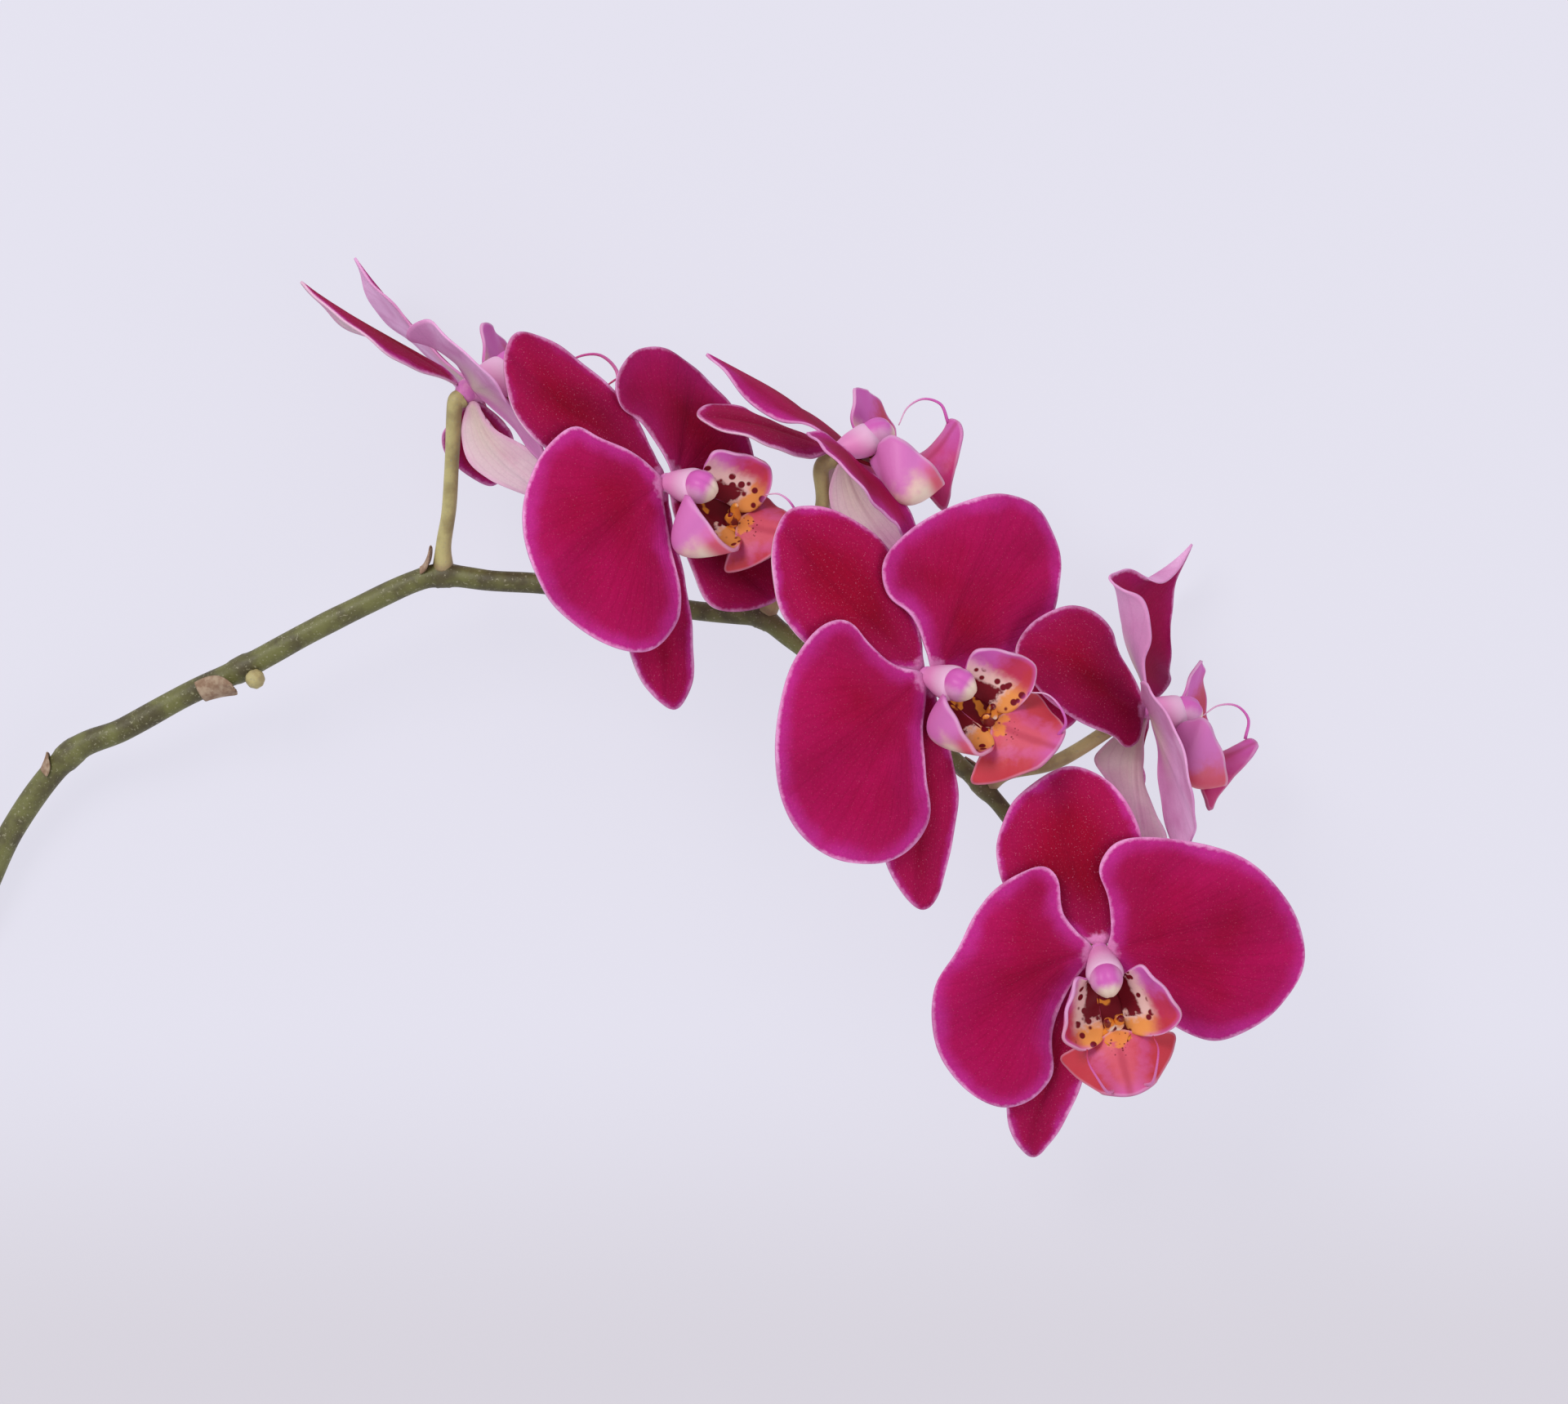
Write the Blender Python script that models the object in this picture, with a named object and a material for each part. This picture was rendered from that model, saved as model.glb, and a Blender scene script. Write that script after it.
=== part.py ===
"""Cut flower stem of a moth orchid with six open blooms, lying on a table.

Lengths are millimetres until a mesh is made. +X runs along the stem toward its tip, +Z is up from the table.
A bloom's margins are given from its own centre: x along the stem, y across it, z up.
"""
import math

import bmesh
import bpy
import numpy as np
from mathutils import Matrix, Vector

MM = 0.001
TEPAL_THICKNESS = 0.8
LIP_THICKNESS = 0.9
BRACT_THICKNESS = 0.7
CLEARANCE = 0.35
TABLE_REACH = 0.8
KNOB_RADIUS = 3.1
HARMONICS = 16
MARGIN_SAMPLES = 96

STEM_COLOUR = (0.10, 0.12, 0.045)
PEDICEL_COLOUR = (0.36, 0.34, 0.14)
BRACT_COLOUR = (0.38, 0.22, 0.15)
PETAL_COLOUR = (0.34, 0.010, 0.075)
SEPAL_COLOUR = (0.27, 0.008, 0.045)
LIP_COLOUR = (0.50, 0.06, 0.10)
COLUMN_COLOUR = (0.60, 0.16, 0.50)

# The stem's middle line and radius, from the cut end to the tip.
STEM_ROUTE = [
    (-218.5, -83.7, 2.5, 2.75), (-196.0, -57.0, 4.0, 2.70), (-182.4, -29.9, 7.0, 2.60),
    (-168.7, -12.4, 11.0, 2.60), (-155.8, -6.4, 14.0, 2.50), (-140.6, 1.8, 17.0, 2.45),
    (-127.3, 7.9, 20.0, 2.45), (-112.1, 16.1, 23.0, 2.40), (-100.7, 21.8, 25.0, 2.35),
    (-87.4, 28.0, 27.0, 2.30), (-79.8, 29.7, 28.0, 2.30), (-68.4, 28.4, 30.0, 2.20),
    (-56.1, 27.6, 31.0, 2.15), (-39.9, 25.0, 33.0, 2.10), (-23.6, 21.8, 34.0, 2.05),
    (-11.4, 20.4, 34.5, 2.00), (-4.8, 19.5, 35.0, 2.00), (1.9, 14.5, 35.0, 1.95), (19.0, 1.8, 34.5, 1.90),
    (34.2, -8.6, 34.0, 1.80), (46.6, -20.0, 33.0, 1.75), (53.2, -27.7, 32.5, 1.70),
    (62.7, -41.9, 31.0, 1.60), (64.6, -45.6, 30.5, 1.1),
]
KNOT_HEIGHT = 0.45
KNOT_LENGTH = 5.0
STEM_SIDES = 10
STEM_RINGS = 70


def bowl(slope_x, slope_y, sag=0.0030):
    """Height over a bloom's centre of the shallow dish that a front-facing bloom's tepals follow."""
    return lambda x, y: slope_x * x + slope_y * y - sag * (x * x + y * y)


def laid_on(dish, level, outline):
    """An outline of (x, y) points raised onto a dish, a little above or below it."""
    return [(x, y, dish(x, y) + level) for x, y in outline]


PETAL_LEVEL = 1.3
SEPAL_LEVEL = -1.2
DISH_B = bowl(-0.68, -0.20)
DISH_B_RAISED = bowl(-0.48, -0.20)
DISH_D = bowl(-0.60, -0.08)
DISH_F = bowl(-0.08, 0.30)

# Each tepal: its margin, then the middle's bulge, and the way its front faces where that isn't the bloom's
# facing. A lip's spread is its left lobe's, then its right lobe's.
BLOOMS = {
    "a": {
        "centre": (-73.7, 72.5, 41.0), "facing": (0.66, 0.735, -0.15), "up": (-0.62, 0.56, 0.52),
        "droop": 4.0, "spread": (1.0, 1.0),
        "node": 10, "pedicel": [(-4.6, -27.0, -7.5), (-4.2, -14.0, -2.8)],
        "dorsal_sepal": ([(-2.7, 1.6, 0.8), (-7.5, 3.2, 7.0), (-18.0, 8.0, 16.0), (-29.0, 16.5, 17.0),
                          (-35.5, 22.3, 13.0), (-38.8, 24.7, 7.0), (-34.0, 20.0, 1.0), (-27.0, 14.0, -5.0),
                          (-16.0, 10.6, -8.0), (-7.0, 6.5, -4.5)], (0.8, 1.2, 0.0), (0.3, 1.0, 0.2)),
        "petal_right": ([(-1.0, 3.0, -3.6), (-13.0, 15.0, -8.0), (-23.5, 26.5, -13.0), (-27.0, 32.0, -20.0),
                         (-24.0, 22.0, -33.0), (-14.0, 12.0, -41.4), (-3.0, 1.5, -41.4), (3.5, -5.5, -30.0),
                         (4.2, -4.8, -15.0), (2.8, -1.2, -6.0)], (0.3, 0.3, 0.0), None),
        "petal_left": ([(1.0, 1.8, 3.8), (-6.0, 9.0, 9.0), (-13.5, 12.3, 19.0), (-8.0, 15.0, 31.0),
                        (0.0, 8.0, 36.0), (7.0, 0.8, 33.0), (12.5, -6.5, 24.0), (17.0, -13.0, 17.5),
                        (20.0, -19.0, 13.0), (15.0, -14.0, 11.0), (8.0, -6.0, 8.0), (3.4, -1.6, 4.0)],
                        (1.2, 1.2, 0.0), None),
        "sepal_left": ([(0.2, -3.4, 0.8), (-1.5, -10.0, -0.5), (0.0, -16.0, 0.0), (5.0, -20.5, 1.5),
                        (13.0, -24.0, 3.5), (25.0, -27.0, 5.0), (22.0, -18.5, 6.5), (13.5, -13.0, 5.0),
                        (5.5, -8.4, 2.6), (2.8, -3.4, 1.2)], (-1.0, -1.0, 0.5), None),
        "sepal_right": ([(0.2, -3.0, -1.6), (-3.3, -6.0, -5.0), (-6.2, -10.5, -9.0), (-4.5, -16.0, -15.0),
                         (4.5, -21.5, -26.0), (9.5, -15.0, -26.0), (9.5, -9.0, -19.0), (4.0, -3.4, -6.5)],
                        (0.8, 0.8, 0.0), None),
    },
    "b": {
        "centre": (-27.0, 50.8, 56.0), "facing": (0.555, 0.163, 0.815), "up": (-0.70, 0.60, 0.40),
        "droop": 12.0, "spread": (0.55, 0.85), "reach": 0.80,
        "node": 13, "pedicel": [(-14.0, -17.0, -19.5), (-9.5, -6.0, -13.0)],
        "dorsal_sepal": (laid_on(DISH_B, SEPAL_LEVEL, [
            (-2.9, 2.6), (-12.0, 3.0), (-22.0, 5.0), (-30.5, 9.5), (-35.5, 17.0), (-37.4, 27.0),
            (-35.3, 34.0), (-28.5, 33.2), (-21.0, 28.8), (-12.0, 20.7), (-6.3, 13.0), (-2.4, 5.5)]),
            (0.0, 0.0, 1.2), None),
        "petal_right": (laid_on(DISH_B, PETAL_LEVEL, [
            (2.4, 2.9), (-1.6, 8.0), (-6.0, 13.8), (-10.8, 17.6), (-11.9, 23.5), (-8.0, 30.2), (-1.5, 31.3),
            (7.0, 26.3), (14.1, 18.8), (19.2, 9.0), (21.0, 0.5), (17.5, -5.5), (9.5, -3.2), (4.4, -0.2)]),
            (0.0, 0.0, 1.5), None),
        "petal_left": (laid_on(DISH_B, PETAL_LEVEL, [
            (-2.0, 0.4), (-7.2, 6.2), (-14.3, 9.6), (-21.5, 12.6), (-28.5, 6.5), (-32.2, -3.0),
            (-32.5, -13.5), (-28.0, -25.5), (-20.5, -33.5), (-11.5, -38.5), (-3.5, -38.8), (2.0, -33.0),
            (3.0, -27.0), (1.0, -16.0), (-0.9, -6.0), (-1.9, -1.5)]), (0.0, 0.0, 2.2), None),
        "sepal_right": (laid_on(DISH_B_RAISED, SEPAL_LEVEL, [
            (2.2, -3.2), (9.0, -6.5), (17.0, -10.0), (26.0, -16.0), (29.0, -22.5), (24.5, -27.6),
            (16.5, -29.8), (9.5, -28.2), (5.6, -20.0), (2.2, -10.0), (0.9, -4.4)]), (0.0, 0.0, 1.2), None),
        "sepal_left": (laid_on(DISH_B, SEPAL_LEVEL - 2.2, [
            (-0.4, -2.9), (-5.0, -14.0), (-9.2, -28.0), (-9.0, -38.0), (-5.5, -46.5), (1.2, -52.6),
            (5.1, -47.5), (5.9, -38.0), (5.2, -29.0), (2.2, -16.0), (0.6, -7.0)]), (0.0, 0.0, 1.4), None),
    },
    "c": {
        "centre": (13.1, 58.6, 41.0), "facing": (0.705, 0.705, 0.06), "up": (-0.61, 0.57, 0.55),
        "droop": -26.0, "spread": (1.0, 1.0),
        "node": 16, "pedicel": [(-9.0, -27.0, -4.0), (-4.2, -13.0, -2.0)],
        "dorsal_sepal": ([(-3.4, 0.9, 0.9), (-7.0, -2.2, 8.0), (-12.0, -0.8, 15.0), (-21.0, 2.2, 21.0),
                          (-29.0, 4.7, 21.0), (-33.2, 8.4, 17.0), (-29.6, 10.0, 11.0), (-22.4, 9.7, 7.5),
                          (-14.0, 5.5, 0.0), (-7.0, 3.0, -2.5)], (0.0, 1.5, 1.5), (0.2, 1.0, 0.3)),
        "petal_right": ([(-0.8, 2.4, -2.8), (-8.0, 6.0, -4.5), (-14.5, 7.5, -7.0), (-21.0, 11.5, -10.0),
                         (-28.0, 19.5, -14.0), (-31.2, 23.4, -20.0), (-24.7, 19.6, -31.0),
                         (-15.0, 13.5, -40.6), (-4.0, 6.0, -41.8), (5.0, -1.0, -39.6), (10.0, -6.5, -28.0),
                         (8.0, -6.0, -15.0), (2.2, -0.9, -4.8)], (2.0, 2.0, 0.0), None),
        "petal_left": ([(1.2, 0.2, 3.5), (-4.5, 4.2, 8.0), (-8.0, 3.4, 16.0), (-4.2, 0.5, 28.0),
                        (1.5, -6.0, 34.0), (7.0, -12.0, 30.0), (11.5, -16.7, 20.0), (15.5, -20.5, 9.5),
                        (18.5, -20.0, 6.5), (14.0, -12.0, 5.0), (8.0, -6.0, 4.5), (3.6, -2.4, 3.6)],
                        (0.8, 0.8, 0.5), None),
        "sepal_left": ([(0.2, -3.5, 0.6), (-2.6, -9.0, 1.5), (-1.0, -15.5, 1.0), (5.0, -21.5, 0.5),
                        (12.0, -26.5, 1.5), (20.0, -30.5, 2.0), (21.0, -24.0, 3.5), (13.5, -15.5, 3.5),
                        (6.0, -8.6, 1.5), (2.8, -3.9, 0.0)], (-1.0, -1.0, 0.5), None),
        "sepal_right": ([(0.2, -3.9, -2.4), (-4.0, -5.5, -5.5), (-5.0, -10.0, -9.0), (-2.0, -15.5, -15.0),
                         (6.0, -21.5, -27.0), (10.5, -14.0, -24.0), (8.0, -7.5, -14.0), (3.6, -3.8, -6.0)],
                        (0.8, 0.8, 0.0), None),
    },
    "d": {
        "centre": (33.3, 6.0, 58.0), "facing": (0.51, 0.068, 0.857), "up": (-0.672, 0.644, 0.361),
        "droop": 12.0, "spread": (0.60, 1.0),
        "node": 18, "pedicel": [(-12.5, -1.2, -13.5), (-8.0, -0.8, -9.5)],
        "dorsal_sepal": (laid_on(DISH_D, SEPAL_LEVEL, [
            (-3.2, 2.4), (-14.0, 3.0), (-26.0, 6.0), (-33.0, 13.0), (-35.9, 22.0), (-35.8, 31.0),
            (-32.5, 38.0), (-26.0, 39.2), (-18.0, 36.4), (-10.0, 30.5), (-5.5, 23.0), (-3.0, 14.0),
            (-1.6, 5.2)]), (0.0, 0.0, 1.2), None),
        "petal_right": (laid_on(DISH_D, PETAL_LEVEL, [
            (1.5, 3.6), (-1.0, 8.0), (-4.0, 13.8), (-9.3, 19.0), (-10.2, 26.5), (-4.5, 33.6), (5.0, 39.2),
            (16.0, 42.4), (25.2, 40.0), (30.4, 32.0), (30.9, 22.0), (28.0, 12.0), (19.0, 4.6), (9.5, 0.9),
            (4.0, 0.5)]), (0.0, 0.0, 2.0), None),
        "petal_left": (laid_on(DISH_D, PETAL_LEVEL, [
            (-3.2, 1.6), (-8.0, 2.6), (-13.0, 7.0), (-19.0, 12.6), (-25.3, 11.0), (-31.2, 3.0), (-34.7, -9.0),
            (-35.1, -22.0), (-31.3, -34.0), (-23.0, -41.5), (-12.0, -43.3), (-4.0, -39.8), (0.1, -32.0),
            (-0.6, -22.0), (-1.2, -12.0), (-1.1, -5.0), (-1.9, -1.7)]), (0.0, 0.0, 2.4), None),
        "sepal_left": (laid_on(DISH_D, SEPAL_LEVEL, [
            (-0.6, -4.0), (-6.0, -12.0), (-10.0, -25.0), (-10.5, -38.0), (-8.0, -47.0), (-2.0, -54.0),
            (2.6, -50.0), (5.6, -39.0), (6.8, -28.0), (5.4, -18.0), (2.4, -7.0)]), (0.0, 0.0, 1.4), None),
        "sepal_right": (laid_on(DISH_D, SEPAL_LEVEL - 0.8, [
            (2.5, -1.3), (11.0, 1.0), (20.0, 2.6), (30.0, 1.0), (36.0, -4.0), (35.0, -10.0), (29.0, -13.9),
            (20.0, -15.0), (10.0, -10.4), (2.2, -3.4)]), (0.0, 0.0, 0.6), None),
    },
    "e": {
        "centre": (85.1, -1.6, 30.5), "facing": (0.951, 0.290, -0.10), "up": (-0.25, 0.80, 0.545),
        "droop": -24.0, "spread": (1.0, 1.0),
        "node": 20, "pedicel": [(-21.5, -12.4, 1.8), (-9.2, -5.0, 0.2)],
        "dorsal_sepal": ([(-1.8, -0.4, 3.6), (-2.9, 6.1, 5.0), (-6.3, 11.8, 6.5), (-8.7, 18.5, 10.0),
                          (-13.7, 23.0, 12.0), (-20.0, 23.8, 14.0), (-27.5, 20.0, 17.0), (-31.3, 14.0, 19.5),
                          (-29.5, 9.3, 19.5), (-24.0, 2.3, 17.5), (-16.0, -3.2, 13.5), (-8.5, -6.3, 9.0),
                          (-5.2, -9.0, 6.5), (-2.0, -7.0, 5.0)], (-0.5, 0.5, 2.2), (0.1, 0.0, 1.0)),
        "petal_right": ([(1.4, 3.9, -1.5), (-0.8, 10.8, 2.0), (0.3, 16.0, 5.0), (0.0, 23.0, 6.5),
                         (-2.0, 26.4, 7.0), (-5.6, 27.9, 5.5), (-9.1, 31.0, 1.5), (-3.5, 32.8, -7.0),
                         (3.4, 29.4, -13.0), (8.4, 33.3, -17.0), (11.4, 39.2, -20.0), (8.6, 32.0, -24.0),
                         (7.0, 26.0, -29.0), (6.5, 18.0, -31.5), (6.6, 10.5, -29.0), (5.6, 5.4, -16.0)],
                         (-7.5, 1.0, 0.0), None),
        "petal_left": ([(1.2, -2.2, 2.6), (-0.6, 1.6, 6.0), (-2.3, 6.0, 16.0), (-0.5, 5.0, 26.0),
                        (3.0, -1.0, 33.0), (6.8, -10.0, 36.0), (9.0, -18.0, 34.0), (9.7, -26.0, 27.0),
                        (9.5, -31.5, 18.0), (8.0, -36.5, 12.0), (5.0, -31.0, 7.0), (3.2, -20.0, 4.5),
                       (2.0, -9.0, 3.0)], (1.5, 0.0, 0.0), None),
        "sepal_left": ([(-0.8, -3.3, -2.0), (-6.0, -5.6, -3.6), (-11.5, -10.3, -3.0), (-12.1, -13.0, -2.0),
                        (-9.2, -17.0, 0.0), (-5.0, -23.0, 2.0), (-2.5, -30.0, 4.0), (2.0, -39.5, 8.0),
                        (4.2, -31.0, 3.5), (1.7, -24.0, 2.0), (-0.8, -17.0, 0.0), (-1.4, -9.0, -1.6),
                        (0.4, -3.4, -0.6)],
                       (-0.6, 0.0, 1.0), None),
        "sepal_right": ([(0.6, -2.6, -2.6), (-5.0, -8.5, -8.0), (-7.0, -17.0, -13.0), (-4.5, -27.0, -20.0),
                         (-0.5, -18.5, -19.0), (-1.0, -9.0, -12.5), (0.6, -3.2, -5.2)],
                         (0.8, 0.0, 0.0), None),
    },
    "f": {
        "centre": (73.2, -58.0, 50.0), "facing": (0.078, -0.287, 0.955), "up": (-0.185, 0.936, 0.298),
        "droop": 14.0, "spread": (0.80, 1.0),
        "node": 22, "pedicel": [(-7.5, 12.5, -13.0), (-3.6, 6.5, -9.5)],
        "dorsal_sepal": (laid_on(DISH_F, SEPAL_LEVEL, [
            (-3.0, 3.4), (-12.0, 7.5), (-21.0, 13.5), (-24.0, 22.5), (-22.6, 30.0), (-18.5, 36.8),
            (-8.0, 43.1), (1.5, 40.0), (7.5, 32.5), (10.0, 23.0), (7.0, 10.0), (3.2, 3.6)]),
            (0.0, 0.0, 1.2), None),
        "petal_right": (laid_on(DISH_F, PETAL_LEVEL, [
            (3.6, -1.8), (3.3, 2.6), (3.0, 6.5), (1.8, 13.0), (-0.3, 19.5), (3.5, 25.3), (12.0, 26.7),
            (26.0, 24.6), (36.0, 20.2), (44.4, 11.0), (48.1, 0.0), (45.8, -8.8), (38.5, -16.3),
            (28.0, -20.8), (18.5, -18.0), (11.5, -11.0), (6.6, -6.0)]), (0.0, 0.0, 2.4), None),
        "petal_left": (laid_on(DISH_F, PETAL_LEVEL, [
            (-3.1, 2.2), (-6.0, 5.5), (-8.9, 10.0), (-9.8, 17.0), (-14.0, 20.0), (-23.0, 15.7), (-28.7, 9.3),
            (-33.0, 0.5), (-38.2, -8.5), (-38.2, -20.0), (-33.0, -30.3), (-24.0, -36.3), (-16.5, -35.0),
            (-10.7, -29.0), (-10.9, -20.0), (-8.6, -11.0), (-5.0, -5.4), (-3.1, -2.2)]),
            (0.0, 0.0, 2.4), None),
        "sepal_left": (laid_on(DISH_F, SEPAL_LEVEL, [
            (-2.4, -2.7), (-12.0, -12.0), (-19.0, -24.0), (-21.1, -35.0), (-19.9, -43.0), (-14.9, -48.8),
            (-10.2, -44.5), (-6.6, -38.0), (-3.2, -29.0), (-0.6, -17.0), (0.2, -5.2)]),
            (0.0, 0.0, 1.4), None),
        "sepal_right": ([(2.2, -2.2, -1.4), (8.0, -0.6, -6.0), (16.0, 0.0, -14.0), (24.0, -3.0, -24.0),
                         (27.0, -9.0, -31.0), (24.0, -15.0, -30.0), (15.0, -15.5, -21.0), (7.0, -11.0, -10.0),
                         (1.6, -4.6, -2.6)], (1.2, -0.8, 1.0), (0.4, -0.2, 1.0)),
    },
}

# The lip, from the bloom's centre: right, up and forward as the bloom faces.
LIP_CLAW = [(0.0, -3.5, 0.9), (2.6, -5.6, 2.0), (3.0, -11.0, 4.4), (3.3, -17.0, 6.6), (2.5, -20.0, 8.6),
            (-2.5, -20.0, 8.6), (-3.3, -17.0, 6.6), (-3.0, -11.0, 4.4), (-2.6, -5.6, 2.0)]
LIP_MIDDLE = [(0.0, -17.0, 6.8), (5.0, -18.4, 7.6), (10.5, -20.4, 6.0), (13.6, -23.2, 5.0),
              (11.4, -25.2, 10.0), (8.0, -25.4, 16.6), (5.4, -24.8, 21.2), (0.0, -25.4, 22.4),
              (-5.4, -24.8, 21.2), (-8.0, -25.4, 16.6), (-11.4, -25.2, 10.0), (-13.6, -23.2, 5.0),
              (-10.5, -20.4, 6.0), (-5.0, -18.4, 7.6)]
LIP_SIDE = [(2.2, -7.5, 3.2), (2.6, -12.5, 5.2), (2.9, -17.6, 7.2), (6.5, -19.4, 9.0), (11.5, -18.8, 11.0),
            (15.2, -15.5, 12.4), (14.2, -10.8, 12.9), (11.4, -5.6, 12.5), (8.6, -1.7, 11.4), (6.2, -2.6, 8.4),
            (4.2, -5.0, 5.2)]
LIP_TENDRIL = [(3.6, -24.7, 20.4), (5.4, -22.0, 23.8), (7.0, -18.0, 23.6), (8.2, -15.6, 20.2),
               (7.8, -15.0, 15.6)]
LIP_HINGE = (0.0, -18.0, 7.0)
CALLUS_CENTRE = (0.0, -15.9, 7.6)
CALLUS_SIZE = (2.7, 2.1, 2.2)
TENDRIL_RADIUS = 0.42
COLUMN_ROUTE = [(0.0, 0.0, 0.0, 2.7), (0.0, -0.2, 3.2, 2.8), (0.0, -1.2, 6.4, 2.8), (0.0, -2.6, 9.4, 3.0),
                (0.0, -3.9, 11.2, 2.7)]
ANTHER_CENTRE = (0.0, -3.9, 11.2)
ANTHER_SIZE = (3.8, 3.7, 3.2)

# Bracts clasp the stem at a node: point along the stem's route, way they open, length, half angle.
BRACTS = {
    "bract_lower": (3, (-0.2, 1.0, 0.3), 4.0, 60.0),
    "bract_middle": (6, (0.1, -0.75, 0.75), 8.5, 75.0),
    "bract_a": (10, (-0.4, 0.9, 0.2), 6.5, 55.0),
    "bract_b": (13, (0.3, -0.9, 0.1), 5.0, 60.0),
    "bract_c": (16, (0.2, 0.9, -0.3), 5.0, 60.0),
    "bract_d": (18, (0.3, -0.7, -0.6), 5.0, 60.0),
    "bract_e": (20, (0.2, 0.2, -1.0), 5.0, 60.0),
    "bract_f": (22, (-0.6, -0.5, -0.4), 4.5, 60.0),
}
BRACT_SETBACK = 2.9
BRACT_GAP = 0.42
BRACT_FLARE = 0.20
BUD_NODE = 6
BUD_RADIUS = 2.3


def clear_scene():
    for item in list(bpy.data.objects):
        bpy.data.objects.remove(item, do_unlink=True)


def material(name, colour, roughness):
    made = bpy.data.materials.new(name)
    made.use_nodes = True
    shader = made.node_tree.nodes["Principled BSDF"]
    shader.inputs["Base Color"].default_value = (*colour, 1.0)
    shader.inputs["Roughness"].default_value = roughness
    shader.inputs["Metallic"].default_value = 0.0
    return made


def new_object(name, bm, surface):
    """Puts a millimetre bmesh into the scene as a smooth-shaded object in metres."""
    bmesh.ops.scale(bm, vec=Vector((MM, MM, MM)), verts=bm.verts)
    mesh = bpy.data.meshes.new(name)
    bm.to_mesh(mesh)
    bm.free()
    mesh.shade_smooth()
    mesh.materials.append(surface)
    item = bpy.data.objects.new(name, mesh)
    bpy.context.scene.collection.objects.link(item)
    return item


def spline(points, t):
    """Catmull-Rom point on an open route, t from 0 to 1."""
    place = t * (len(points) - 1)
    i = min(int(place), len(points) - 2)
    u = place - i
    p1, p2 = points[i], points[i + 1]
    p0 = points[i - 1] if i > 0 else 2 * p1 - p2
    p3 = points[i + 2] if i + 2 < len(points) else 2 * p2 - p1
    return 0.5 * ((2 * p1) + (p2 - p0) * u + (2 * p0 - 5 * p1 + 4 * p2 - p3) * u * u
                  + (3 * p1 - p0 - 3 * p2 + p3) * u ** 3)


def closed_margin(points):
    """The closed smooth curve through the margin's points, sampled evenly along its length."""
    ring = [np.array(p, dtype=float) for p in points]
    count = len(ring)
    fine = []
    for i in range(count):
        p0, p1, p2, p3 = (ring[(i + k - 1) % count] for k in range(4))
        for u in np.linspace(0.0, 1.0, 16, endpoint=False):
            fine.append(0.5 * ((2 * p1) + (p2 - p0) * u + (2 * p0 - 5 * p1 + 4 * p2 - p3) * u * u
                               + (3 * p1 - p0 - 3 * p2 + p3) * u ** 3))
    fine.append(fine[0])
    fine = np.array(fine)
    reach = np.concatenate([[0.0], np.cumsum(np.linalg.norm(np.diff(fine, axis=0), axis=1))])
    even = np.linspace(0.0, reach[-1], MARGIN_SAMPLES, endpoint=False)
    return np.stack([np.interp(even, reach, fine[:, k]) for k in range(3)], axis=1)


class Sheet:
    """The smoothest sheet that spans a closed margin, like a soap film, with a bulge in its middle."""

    def __init__(self, margin, bulge, front):
        ring = closed_margin(margin)
        area = np.cross(ring, np.roll(ring, -1, axis=0)).sum(axis=0)
        if np.dot(area, front) < 0:
            ring = ring[::-1]
        self.waves = np.fft.rfft(ring, axis=0) / len(ring)
        self.bulge = np.array(bulge)

    def at(self, radius, angle):
        point = self.waves[0].real.copy()
        for m in range(1, HARMONICS + 1):
            turn = complex(math.cos(m * angle), math.sin(m * angle))
            point += 2.0 * radius ** m * (self.waves[m] * turn).real
        return point + self.bulge * (1.0 - radius * radius)


def blade(sheet, cells, thickness, table=False):
    """A thin closed blade that follows a sheet; both faces are split into the same triangles."""
    bm = bmesh.new()
    bmesh.ops.create_grid(bm, x_segments=cells, y_segments=cells, size=1.0)
    for vert in bm.verts:
        x, y = vert.co.x, vert.co.y
        across, along = x * math.sqrt(1 - y * y / 2), y * math.sqrt(1 - x * x / 2)
        point = sheet.at(min(1.0, math.hypot(across, along)), math.atan2(along, across))
        if table:
            point[2] = max(point[2], thickness / 2)
        vert.co = Vector(point)
    bmesh.ops.triangulate(bm, faces=bm.faces)
    bm.normal_update()
    thicken(bm, thickness)
    if table:
        settle(bm)
    return bm


def settle(bm):
    """Presses what all but touches the table flat onto it."""
    for vert in bm.verts:
        if vert.co.z < TABLE_REACH:
            vert.co.z = 0.0


def thicken(bm, thickness):
    """Gives an open sheet its thickness, half to each side along the normals at its points."""
    for vert in bm.verts:
        vert.co += vert.normal * (thickness / 2)
    bmesh.ops.solidify(bm, geom=bm.faces[:], thickness=thickness)
    bmesh.ops.recalc_face_normals(bm, faces=bm.faces)


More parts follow.
